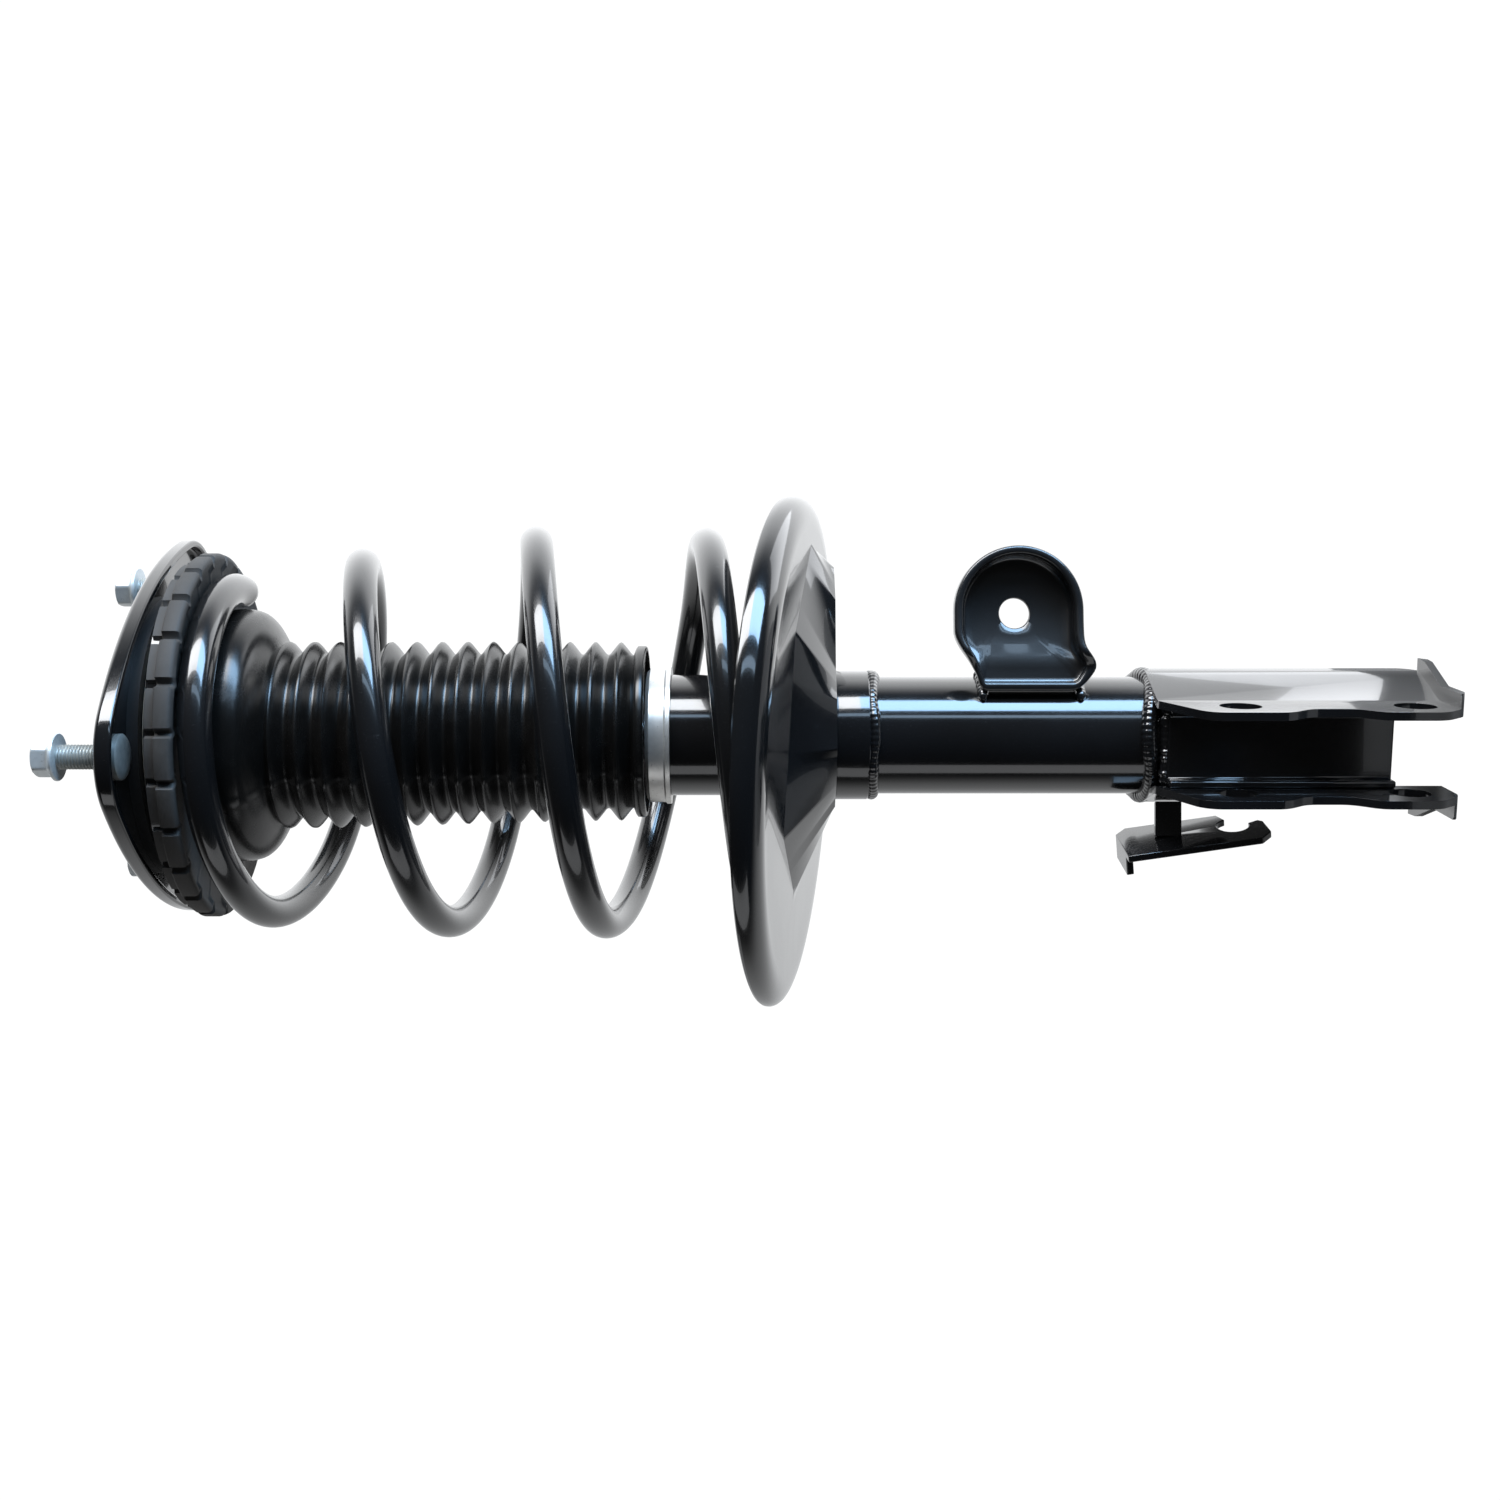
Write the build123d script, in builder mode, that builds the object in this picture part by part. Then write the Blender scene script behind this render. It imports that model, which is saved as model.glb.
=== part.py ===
"""Front suspension strut assembly, modelled upright: +Z runs up the damper axis to the top mount.

The origin is the centre of the top mount's three studs, on the upper face of the mount plate, so
that the strut hangs below it. Millimetres.
"""

from build123d import *
from math import acos, atan2, cos, hypot, radians, sin, tan
import os

os.makedirs("parts", exist_ok=True)

# ---- Driving dimensions -------------------------------------------------------------------------
SHEET = 3.0  # pressed sheet of the mount plate and the lower spring seat
TRAVEL = 120.0  # damper compression, from full droop to the bump stop

# Top mount
STUD_COUNT = 3
STUD_CIRCLE_R = 69.0
FIRST_STUD_ANGLE = -97.5  # about Z, from +X
STUD_R = 4.9
STUD_SHANK_R = 5.4  # pressed into the plate
STUD_THREAD_R = 4.6  # mean thread radius, where the nut is on
STUD_TOP = 28.5
STUD_POINT = 0.8
STUD_HEAD_R = 9.0
STUD_HEAD_T = 2.6
NUT_FLANGE_R = 9.3
NUT_FLANGE_T = 2.2
NUT_HEX_FLATS = 14.0
NUT_BOTTOM = 19.2
NUT_TOP = 28.0
LOBE_R = 30.0  # rounded corner of the plate round each stud
SIDE_R = 179.5  # gentle bow of the plate's three sides
SIDE_MIDDLE = 68.5  # from the axis to the middle of a side
RIM_DEPTH = 7.0
RIM_BEND_R = 2.6
DOME_R = 46.0
DOME_TOP_R = 35.0
DOME_HOLE_R = 22.0
DOME_HEIGHT = 12.0
DOME_STEP = 2.0  # the dome's inner corner, in from its outer one
RUBBER_LIP_R = 34.0  # lower bead of the mount rubber, round the core's flange
RUBBER_WAIST = (40.0, -6.0)  # radius and height where the rubber is thickest
CORE_R = 13.5
CORE_TOP = 4.0
CORE_BOTTOM = -14.0
CORE_FLANGE_R = 17.5
CORE_FLANGE_T = 2.0  # above and below the rubber's lower bead

# Swivel bearing between the mount and the upper spring seat
BEARING_R = 50.0
BEARING_HALF = 8.0
BEARING_MID = -8.5
BALL_R = 2.5
BALL_COUNT = 24
GROOVE_R = 2.8
RACE_GAP = 1.0  # from the balls' middle to each race
CAGE_HALF = 4.0
CAGE_T = 1.0

# Upper spring seat, rubber insulator and dust boot
SEAT_TOP = -14.0
SEAT_SHEET = 2.5
SEAT_RIM = 7.0  # depth of the seat's turned-down rim
SEAT_HOLE_R = 28.0
SEAT_R = 71.0
NECK_BOTTOM = -27.0
INSULATOR_R = 76.0
INSULATOR_INNER_R = 53.0
INSULATOR_BOTTOM = -26.0
INSULATOR_CORNER = 2.0
INSULATOR_BLOCKS = 24
GROOVE_WIDTH = 1.6
GROOVE_DEPTH = 2.0
BOOT_TOP = -27.0
BOOT_NECK_R = 52.0
# radius and height down the smooth neck, to where the bellows start
BOOT_SHOULDER = [(52.4, -39.5), (50.6, -43.5), (46.5, -47.0), (38.4, -50.8)]
BOOT_WALL = 1.8
BOOT_CRESTS = 14
FIRST_CREST = -53.0
LAST_CREST = -192.4
TOP_CREST_R = 39.2
END_CREST_R = 37.5
VALLEY_DROP = 5.8
BOOT_END = -203.3
BOOT_LIP_R = 36.0
BOOT_LIP = 4.0

# Coil spring
WIRE_R = 6.7
COIL_R = 78.0
COIL_PITCH = 68.6
COIL_START = -270.4
COIL_HEIGHT = 237.2
COIL_START_ANGLE = 90.0  # the wire leaves the lower seat on the +Y side

# Rod, piston and bump stop
ROD_R = 10.0
ROD_THREAD_R = 6.0
ROD_TOP = 18.0
ROD_NUT_FLATS = 19.0
ROD_NUT_T = 10.0
ROD_WASHER_R = 13.0
ROD_WASHER_T = 2.0
BUMP_STOP_TOP = -18.0
BUMP_STOP_GAP = 0.5  # left to the tube's cap at full travel
# the stop's waists and beads: radius, and share of its length from its lower end
BUMP_STOP_STEPS = [(16, 0), (19, 0.14), (15.5, 0.28), (21.5, 0.44), (17.5, 0.6), (24, 0.78), (24, 1)]
PISTON_TOP = -250.0
PISTON_BOTTOM = -272.0
ROD_END = -281.0
BAND_T = 1.2
BAND_INSET = 6.0
PISTON_GAP = 0.4
PISTON_PORTS = 6
PISTON_PORT_R = 1.6
PISTON_NUT_FLATS = 18.0
PISTON_NUT_T = 8.0
REBOUND_STOP_R = 14.0
REBOUND_STOP_GAP = 0.4  # left to the rod guide at full droop

# Damper tube
CAP_TOP = -203.5
CAP_PLATE_T = 4.0
CAP_BOTTOM = -213.6
CAP_R = 28.2
CAP_LIP_R = 28.9
CAP_LIP = 1.8
CAP_CORNER = 1.5
CAP_HOLE_R = 11.5
UPPER_TUBE_R = 25.4
TUBE_R = 24.65
TUBE_BORE_R = 22.0
TUBE_STEP = -280.5
TUBE_STEP_H = 1.5
TUBE_BOTTOM = -509.0
SEAL_T = 5.5
GUIDE_T = 9.0
SPIGOT_T = 10.0
CYLINDER_BORE_R = 15.0
CYLINDER_R = 16.5
CYLINDER_BOTTOM = -490.0
VALVE_R = 18.5
VALVE_SPIGOT = 6.0
VALVE_PORT_R = 1.5
VALVE_PORT_CIRCLE_R = 9.0
END_CAP_T = 6.0
END_CAP_CHAMFER = 1.5
RUN = 0.06  # radial running clearance on the rod and in the cylinder

# Lower spring seat: a dish tipped so that its -Y side stands higher
DISH_CENTRE = (-6.7, 0.0, -259.2)
DISH_TIP_Y = 11.0
DISH_TIP_X = 2.3
DISH_R = 107.0
DISH_RIM = 8.0
DISH_CORNER = 4.5
DISH_FLOOR = -9.8
DISH_CONE_R = 62.0
COLLAR_R = 27.1
COLLAR_TOP = -281.8
COLLAR_BOTTOM = -296.0
PAD_INNER_R = 70.0
PAD_OUTER_R = 87.0
PAD_T = 4.0

# Stabiliser link bracket: a pressed cup that opens towards -Y
LINK_Z = -355.9
LINK_X = 50.3
LINK_CUP_R = 26.3
LINK_SHEET = 3.4
LINK_BACK_Y = -11.0
LINK_DEPTH = 14.0
LINK_HOLE_R = 6.3
LINK_FOOT_X = 15.0
LINK_FOOT_STEP = 5.0  # how far the foot is joggled towards -Y, onto the tube's front
LINK_STEP_START = 29.0
LINK_STEP_END = 36.0
LINK_FOOT_HALF = 21.0

# Knuckle clevis, turned about Z so that its ears point towards -Y and a little towards -X
CLEVIS_TURN = 10.0
CLEVIS_TOP = -411.0
CLEVIS_BOTTOM = -528.0
CLEVIS_SHEET = 3.3
WRAP_R = 28.2
WRAP_GAP = 0.3
EAR_OUTER = 19.2
EAR_BEND = 30.0
EAR_END = 61.5
EAR_WAIST = 52.5
BOLT_REACH = 45.0
BOLT_HOLE_R = 8.25
UPPER_BOLT_Z = -440.8
LOWER_BOLT_Z = -510.0
LIP_HEIGHT = 6.0
LIP_START = 2.0
EYE_R = 16.0  # how much of the ear's edge stands out above and below each bolt hole
EAR_SLOPE = 10.0
EAR_ROUND = 11.0
TOE_CUT = 11.0
BACK_NOSE = 6.0
BACK_RAMP = 14.0
CUT_HALF = 50.0
WEB_REACH = 27.0
WEB_TOP = -416.0
WEB_BOTTOM = -507.5
WEB_FLANGE_END = 36.0
WEB_BEND_R = 2.5

# Brake hose bracket
HOSE_POST_X = -42.4
HOSE_POST_Y = -5.0
HOSE_POST_Z = -421.5
HOSE_POST_W = 11.0
HOSE_SHEET = 3.0
HOSE_TIP = 21.0
HOSE_LEAN = 8.0
HOSE_BACK = -20.0
HOSE_FRONT = 41.0
HOSE_HALF = 14.0
HOSE_CORNER = 5.0
HOSE_TAB = 11.0
HOSE_NOTCH_X = 28.0
HOSE_NOTCH_Y = -2.0
HOSE_NOTCH_R = 6.5


def outline(points):
    """A closed (radius, height) outline on the XZ plane, ready to be revolved about Z."""
    with BuildSketch(Plane.XZ) as section:
        with BuildLine():
            Polyline(*points, close=True)
        make_face()
    return section.sketch


def ring_outline(inner, outer, bottom, top):
    """The outline of a plain ring."""
    return outline([(inner, bottom), (outer, bottom), (outer, top), (inner, top)])


def level(z):
    """The horizontal plane at height z."""
    return Plane.XY.offset(z)


# ---- Top mount ----------------------------------------------------------------------------------
side_centre = SIDE_R - SIDE_MIDDLE
stud_angles = [FIRST_STUD_ANGLE + 360 / STUD_COUNT * i for i in range(STUD_COUNT)]
stud_points = [
    (STUD_CIRCLE_R * cos(radians(a)), STUD_CIRCLE_R * sin(radians(a))) for a in stud_angles
]


def plate_outline(inset):
    """The mount plate's three-lobed outline, this far in from its edge: three wide arcs, rounded
    where they meet."""
    with BuildSketch() as section:
        for number, angle in enumerate(stud_angles):
            # each wide arc is centred beyond the axis from the side it draws, so towards a stud
            where = (side_centre * cos(radians(angle)), side_centre * sin(radians(angle)))
            with Locations(where):
                Circle(SIDE_R - inset, mode=Mode.INTERSECT if number else Mode.ADD)
        fillet(section.vertices(), LOBE_R - inset)
    return section.sketch


dome_profile = [
    (DOME_HOLE_R, DOME_HEIGHT - SHEET),
    (DOME_TOP_R - DOME_STEP, DOME_HEIGHT - SHEET),
    (DOME_R - SHEET, -SHEET),
    (DOME_R + 1, -SHEET),
    (DOME_R + 1, 0),
    (DOME_R, 0),
    (DOME_TOP_R, DOME_HEIGHT),
    (DOME_HOLE_R, DOME_HEIGHT),
]
with BuildPart() as mount_plate:
    extrude(plate_outline(0), amount=-RIM_DEPTH)
    fillet(mount_plate.faces().sort_by(Axis.Z)[-1].edges(), RIM_BEND_R)
    with BuildSketch(level(-SHEET)):
        add(plate_outline(SHEET))
    extrude(amount=-RIM_DEPTH, mode=Mode.SUBTRACT)
    with BuildSketch(level(-SHEET)):
        Circle(DOME_R)
    extrude(amount=SHEET, mode=Mode.SUBTRACT)
    revolve(outline(dome_profile), axis=Axis.Z)
    with BuildSketch(level(-SHEET)):
        with Locations(*stud_points):
            Circle(STUD_SHANK_R)
    extrude(amount=SHEET, mode=Mode.SUBTRACT)
mount_plate.part.label = "mount_plate"
export_step(mount_plate.part, "parts/mount_plate.step")

rubber_profile = [
    (CORE_R, CORE_BOTTOM + CORE_FLANGE_T),
    (RUBBER_LIP_R, CORE_BOTTOM + CORE_FLANGE_T),
    RUBBER_WAIST,
    (RUBBER_WAIST[0], -SHEET),
    (DOME_R - SHEET, -SHEET),
    (DOME_TOP_R - DOME_STEP, DOME_HEIGHT - SHEET),
    (DOME_HOLE_R + 2, DOME_HEIGHT - SHEET),
    (DOME_HOLE_R - 4, CORE_TOP - 2),
    (CORE_R, CORE_TOP - 2),
]
with BuildPart() as mount_rubber:
    revolve(outline(rubber_profile), axis=Axis.Z)
mount_rubber.part.label = "mount_rubber"
export_step(mount_rubber.part, "parts/mount_rubber.step")

core_profile = [
    (ROD_THREAD_R, CORE_BOTTOM - CORE_FLANGE_T),
    (CORE_FLANGE_R, CORE_BOTTOM - CORE_FLANGE_T),
    (CORE_FLANGE_R, CORE_BOTTOM + CORE_FLANGE_T),
    (CORE_R, CORE_BOTTOM + CORE_FLANGE_T),
    (CORE_R, CORE_TOP),
    (ROD_THREAD_R, CORE_TOP),
]
with BuildPart() as mount_core:
    revolve(outline(core_profile), axis=Axis.Z)
mount_core.part.label = "mount_core"
export_step(mount_core.part, "parts/mount_core.step")

with BuildPart() as mount_studs:
    with BuildSketch(level(-SHEET)):
        with Locations(*stud_points):
            Circle(STUD_HEAD_R)
    extrude(amount=-STUD_HEAD_T)
    with BuildSketch(level(-SHEET)):
        with Locations(*stud_points):
            Circle(STUD_SHANK_R)
    extrude(amount=SHEET)
    with BuildSketch(level(0)):
        with Locations(*stud_points):
            Circle(STUD_R)
    extrude(amount=NUT_BOTTOM)
    with BuildSketch(level(NUT_BOTTOM)):
        with Locations(*stud_points):
            Circle(STUD_THREAD_R)
    extrude(amount=STUD_TOP - NUT_BOTTOM)
    chamfer(mount_studs.faces().group_by(Axis.Z)[-1].edges(), STUD_POINT)
mount_studs.part.label = "mount_studs"
export_step(mount_studs.part, "parts/mount_studs.step")

with BuildPart() as stud_nuts:
    with BuildSketch(level(NUT_BOTTOM)):
        with Locations(*stud_points):
            Circle(NUT_FLANGE_R)
    extrude(amount=NUT_FLANGE_T)
    with BuildSketch(level(NUT_BOTTOM)):
        with Locations(*stud_points):
            RegularPolygon(NUT_HEX_FLATS / 2, 6, major_radius=False)
    extrude(amount=NUT_TOP - NUT_BOTTOM)
    with BuildSketch(level(NUT_BOTTOM)):
        with Locations(*stud_points):
            Circle(STUD_THREAD_R)
    extrude(amount=NUT_TOP - NUT_BOTTOM, mode=Mode.SUBTRACT)
stud_nuts.part.label = "stud_nuts"
export_step(stud_nuts.part, "parts/stud_nuts.step")

with BuildPart() as rod_washer:
    revolve(ring_outline(ROD_THREAD_R, ROD_WASHER_R, CORE_TOP, CORE_TOP + ROD_WASHER_T), axis=Axis.Z)
rod_washer.part.label = "rod_washer"
export_step(rod_washer.part, "parts/rod_washer.step")

with BuildPart() as rod_nut:
    with BuildSketch(level(CORE_TOP + ROD_WASHER_T)):
        RegularPolygon(ROD_NUT_FLATS / 2, 6, major_radius=False)
        Circle(ROD_THREAD_R, mode=Mode.SUBTRACT)
    extrude(amount=ROD_NUT_T)
rod_nut.part.label = "rod_nut"
export_step(rod_nut.part, "parts/rod_nut.step")

# ---- Swivel bearing -----------------------------------------------------------------------------
bearing_inner = BEARING_R - BEARING_HALF
bearing_outer = BEARING_R + BEARING_HALF
race_floor = BEARING_MID + RACE_GAP
race_roof = BEARING_MID - RACE_GAP
with BuildPart() as upper_bearing_race:
    revolve(ring_outline(bearing_inner, bearing_outer, race_floor, -SHEET), axis=Axis.Z)
    with BuildSketch(Plane.XZ):
        with Locations((BEARING_R, BEARING_MID)):
            Circle(GROOVE_R)
    revolve(axis=Axis.Z, mode=Mode.SUBTRACT)
upper_bearing_race.part.label = "upper_bearing_race"
export_step(upper_bearing_race.part, "parts/upper_bearing_race.step")

with BuildPart() as lower_bearing_race:
    revolve(ring_outline(bearing_inner, bearing_outer, SEAT_TOP, race_roof), axis=Axis.Z)
    with BuildSketch(Plane.XZ):
        with Locations((BEARING_R, BEARING_MID)):
            Circle(GROOVE_R)
    revolve(axis=Axis.Z, mode=Mode.SUBTRACT)
lower_bearing_race.part.label = "lower_bearing_race"
export_step(lower_bearing_race.part, "parts/lower_bearing_race.step")

with BuildPart() as bearing_balls:
    with Locations((0, 0, BEARING_MID)):
        with PolarLocations(BEARING_R, BALL_COUNT):
            Sphere(BALL_R)
bearing_balls.part.label = "bearing_balls"
export_step(bearing_balls.part, "parts/bearing_balls.step")

with BuildPart() as bearing_cage:
    with BuildSketch(level(BEARING_MID - CAGE_T / 2)):
        Circle(BEARING_R + CAGE_HALF)
        Circle(BEARING_R - CAGE_HALF, mode=Mode.SUBTRACT)
        with PolarLocations(BEARING_R, BALL_COUNT):
            Circle(GROOVE_R, mode=Mode.SUBTRACT)
    extrude(amount=CAGE_T)
bearing_cage.part.label = "bearing_cage"
export_step(bearing_cage.part, "parts/bearing_cage.step")

# ---- Upper spring seat, insulator, boot ---------------------------------------------------------
upper_seat_profile = [
    (SEAT_HOLE_R, NECK_BOTTOM),
    (SEAT_HOLE_R + SEAT_SHEET, NECK_BOTTOM),
    (SEAT_HOLE_R + SEAT_SHEET, SEAT_TOP - SEAT_SHEET),
    (SEAT_R - SEAT_SHEET, SEAT_TOP - SEAT_SHEET),
    (SEAT_R - SEAT_SHEET, SEAT_TOP - SEAT_RIM),
    (SEAT_R, SEAT_TOP - SEAT_RIM),
    (SEAT_R, SEAT_TOP),
    (SEAT_HOLE_R, SEAT_TOP),
]
with BuildPart() as upper_spring_seat:
    revolve(outline(upper_seat_profile), axis=Axis.Z)
upper_spring_seat.part.label = "upper_spring_seat"
export_step(upper_spring_seat.part, "parts/upper_spring_seat.step")

insulator_profile = [
    (INSULATOR_INNER_R, INSULATOR_BOTTOM),
    (INSULATOR_R - INSULATOR_CORNER, INSULATOR_BOTTOM),
    (INSULATOR_R, INSULATOR_BOTTOM + INSULATOR_CORNER),
    (INSULATOR_R, SEAT_TOP),
    (SEAT_R, SEAT_TOP),
    (SEAT_R, SEAT_TOP - SEAT_RIM),
    (SEAT_R - SEAT_SHEET, SEAT_TOP - SEAT_RIM),
    (SEAT_R - SEAT_SHEET, SEAT_TOP - SEAT_SHEET),
    (INSULATOR_INNER_R, SEAT_TOP - SEAT_SHEET),
]
with BuildPart() as upper_insulator:
    revolve(outline(insulator_profile), axis=Axis.Z)
    with BuildSketch(level(INSULATOR_BOTTOM)):
        with PolarLocations(INSULATOR_R, INSULATOR_BLOCKS):
            Rectangle(2 * GROOVE_DEPTH, GROOVE_WIDTH)
    extrude(amount=SEAT_TOP - INSULATOR_BOTTOM, mode=Mode.SUBTRACT)
upper_insulator.part.label = "upper_insulator"
export_step(upper_insulator.part, "parts/upper_insulator.step")

crest_step = (FIRST_CREST - LAST_CREST) / (BOOT_CRESTS - 1)
boot_outer = [
    (BOOT_NECK_R, BOOT_TOP),
    *BOOT_SHOULDER,
]
for crest in range(BOOT_CRESTS):
    share = crest / (BOOT_CRESTS - 1)
    crest_r = TOP_CREST_R + (END_CREST_R - TOP_CREST_R) * share
    crest_z = FIRST_CREST - crest * crest_step
    boot_outer += [(crest_r, crest_z), (crest_r - VALLEY_DROP, crest_z - crest_step / 2)]
boot_outer[-1] = (BOOT_LIP_R, BOOT_END + BOOT_LIP)
boot_outer.append((BOOT_LIP_R, BOOT_END))
boot_inner = [(r - BOOT_WALL, z) for r, z in reversed(boot_outer)]
with BuildPart() as dust_boot:
    revolve(outline(boot_outer + boot_inner), axis=Axis.Z)
dust_boot.part.label = "dust_boot"
export_step(dust_boot.part, "parts/dust_boot.step")

# ---- Coil spring --------------------------------------------------------------------------------
with BuildPart() as wire:
    with BuildLine(level(COIL_START)) as wire_path:
        Helix(pitch=COIL_PITCH, height=COIL_HEIGHT, radius=COIL_R)
    with BuildSketch(Plane(origin=wire_path.line @ 0, z_dir=wire_path.line % 0)):
        Circle(WIRE_R)
    sweep(path=wire_path.line, is_frenet=True)
with BuildPart() as coil_spring:
    add(wire.part.rotate(Axis.Z, COIL_START_ANGLE))
coil_spring.part.label = "coil_spring"
export_step(coil_spring.part, "parts/coil_spring.step")

# ---- Rod, piston, stops -------------------------------------------------------------------------
rod_profile = [
    (0, ROD_END),
    (ROD_THREAD_R, ROD_END),
    (ROD_THREAD_R, PISTON_TOP),
    (ROD_R, PISTON_TOP),
    (ROD_R, CORE_BOTTOM - CORE_FLANGE_T),
    (ROD_THREAD_R, CORE_BOTTOM - CORE_FLANGE_T),
    (ROD_THREAD_R, ROD_TOP - 1),
    (ROD_THREAD_R - 1, ROD_TOP),
    (0, ROD_TOP),
]
with BuildPart() as piston_rod:
    revolve(outline(rod_profile), axis=Axis.Z)
piston_rod.part.label = "piston_rod"
export_step(piston_rod.part, "parts/piston_rod.step")

bump_stop_bottom = CAP_TOP + TRAVEL + BUMP_STOP_GAP
bump_stop_length = BUMP_STOP_TOP - bump_stop_bottom
bump_stop_profile = [(ROD_R, bump_stop_bottom)]
for radius, share in BUMP_STOP_STEPS:
    bump_stop_profile.append((radius, bump_stop_bottom + share * bump_stop_length))
bump_stop_profile.append((ROD_R, BUMP_STOP_TOP))
with BuildPart() as bump_stop:
    revolve(outline(bump_stop_profile), axis=Axis.Z)
bump_stop.part.label = "bump_stop"
export_step(bump_stop.part, "parts/bump_stop.step")

seal_bottom = CAP_TOP - CAP_PLATE_T - SEAL_T
guide_bottom = seal_bottom - GUIDE_T
spigot_bottom = guide_bottom - SPIGOT_T
with BuildPart() as rebound_stop:
    stop_top = spigot_bottom - REBOUND_STOP_GAP
    revolve(ring_outline(ROD_R, REBOUND_STOP_R, PISTON_TOP, stop_top), axis=Axis.Z)
rebound_stop.part.label = "rebound_stop"
export_step(rebound_stop.part, "parts/rebound_stop.step")

band_top = PISTON_TOP - BAND_INSET
band_bottom = PISTON_BOTTOM + BAND_INSET
piston_r = CYLINDER_BORE_R - PISTON_GAP
piston_profile = [
    (ROD_THREAD_R, PISTON_BOTTOM),
    (piston_r, PISTON_BOTTOM),
    (piston_r, band_bottom),
    (piston_r - BAND_T, band_bottom),
    (piston_r - BAND_T, band_top),
    (piston_r, band_top),
    (piston_r, PISTON_TOP),
    (ROD_THREAD_R, PISTON_TOP),
]
with BuildPart() as piston:
    revolve(outline(piston_profile), axis=Axis.Z)
    with BuildSketch(level(PISTON_TOP)):
        with PolarLocations((ROD_THREAD_R + piston_r - BAND_T) / 2, PISTON_PORTS):
            Circle(PISTON_PORT_R)
    extrude(amount=PISTON_BOTTOM - PISTON_TOP, mode=Mode.SUBTRACT)
piston.part.label = "piston"
export_step(piston.part, "parts/piston.step")

with BuildPart() as piston_band:
    band_profile = ring_outline(piston_r - BAND_T, CYLINDER_BORE_R - RUN, band_bottom, band_top)
    revolve(band_profile, axis=Axis.Z)
piston_band.part.label = "piston_band"
export_step(piston_band.part, "parts/piston_band.step")

with BuildPart() as piston_nut:
    with BuildSketch(level(PISTON_BOTTOM)):
        RegularPolygon(PISTON_NUT_FLATS / 2, 6, major_radius=False)
        Circle(ROD_THREAD_R, mode=Mode.SUBTRACT)
    extrude(amount=-PISTON_NUT_T)
piston_nut.part.label = "piston_nut"
export_step(piston_nut.part, "parts/piston_nut.step")

# ---- Damper tube and what is inside it ----------------------------------------------------------
tube_top = CAP_TOP - CAP_PLATE_T
cap_profile = [
    (CAP_HOLE_R, CAP_TOP),
    (CAP_R - CAP_CORNER, CAP_TOP),
    (CAP_R, CAP_TOP - CAP_CORNER),
    (CAP_R, CAP_BOTTOM + CAP_LIP + CAP_LIP_R - CAP_R),
    (CAP_LIP_R, CAP_BOTTOM + CAP_LIP),
    (CAP_LIP_R, CAP_BOTTOM),
    (UPPER_TUBE_R, CAP_BOTTOM),
    (UPPER_TUBE_R, tube_top),
    (CAP_HOLE_R, tube_top),
]
with BuildPart() as tube_cap:
    revolve(outline(cap_profile), axis=Axis.Z)
tube_cap.part.label = "tube_cap"
export_step(tube_cap.part, "parts/tube_cap.step")

with BuildPart() as rod_seal:
    revolve(ring_outline(ROD_R + RUN, TUBE_BORE_R, seal_bottom, tube_top), axis=Axis.Z)
rod_seal.part.label = "rod_seal"
export_step(rod_seal.part, "parts/rod_seal.step")

guide_profile = [
    (ROD_R + RUN, spigot_bottom),
    (CYLINDER_BORE_R, spigot_bottom),
    (CYLINDER_BORE_R, guide_bottom),
    (TUBE_BORE_R, guide_bottom),
    (TUBE_BORE_R, seal_bottom),
    (ROD_R + RUN, seal_bottom),
]
with BuildPart() as rod_guide:
    revolve(outline(guide_profile), axis=Axis.Z)
rod_guide.part.label = "rod_guide"
export_step(rod_guide.part, "parts/rod_guide.step")

tube_profile = [
    (TUBE_BORE_R, TUBE_BOTTOM),
    (TUBE_R, TUBE_BOTTOM),
    (TUBE_R, TUBE_STEP),
    (UPPER_TUBE_R, TUBE_STEP + TUBE_STEP_H),
    (UPPER_TUBE_R, tube_top),
    (TUBE_BORE_R, tube_top),
]
with BuildPart() as strut_tube:
    revolve(outline(tube_profile), axis=Axis.Z)
strut_tube.part.label = "strut_tube"
export_step(strut_tube.part, "parts/strut_tube.step")

with BuildPart() as inner_cylinder:
    cylinder_profile = ring_outline(CYLINDER_BORE_R, CYLINDER_R, CYLINDER_BOTTOM, guide_bottom)
    revolve(cylinder_profile, axis=Axis.Z)
inner_cylinder.part.label = "inner_cylinder"
export_step(inner_cylinder.part, "parts/inner_cylinder.step")

end_cap_top = TUBE_BOTTOM + END_CAP_T
valve_top = CYLINDER_BOTTOM + VALVE_SPIGOT
base_profile = [
    (0, end_cap_top),
    (VALVE_R, end_cap_top),
    (VALVE_R, CYLINDER_BOTTOM),
    (CYLINDER_BORE_R, CYLINDER_BOTTOM),
    (CYLINDER_BORE_R, valve_top),
    (0, valve_top),
]
with BuildPart() as base_valve:
    revolve(outline(base_profile), axis=Axis.Z)
    with BuildSketch(level(valve_top)):
        with PolarLocations(VALVE_PORT_CIRCLE_R, PISTON_PORTS):
            Circle(VALVE_PORT_R)
    extrude(amount=end_cap_top - valve_top, mode=Mode.SUBTRACT)
base_valve.part.label = "base_valve"
export_step(base_valve.part, "parts/base_valve.step")

with BuildPart() as tube_end_cap:
    with BuildSketch(level(TUBE_BOTTOM)):
        Circle(TUBE_BORE_R)
    extrude(amount=END_CAP_T)
    chamfer(tube_end_cap.faces().sort_by(Axis.Z)[0].edges(), END_CAP_CHAMFER)
tube_end_cap.part.label = "tube_end_cap"
export_step(tube_end_cap.part, "parts/tube_end_cap.step")

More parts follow.
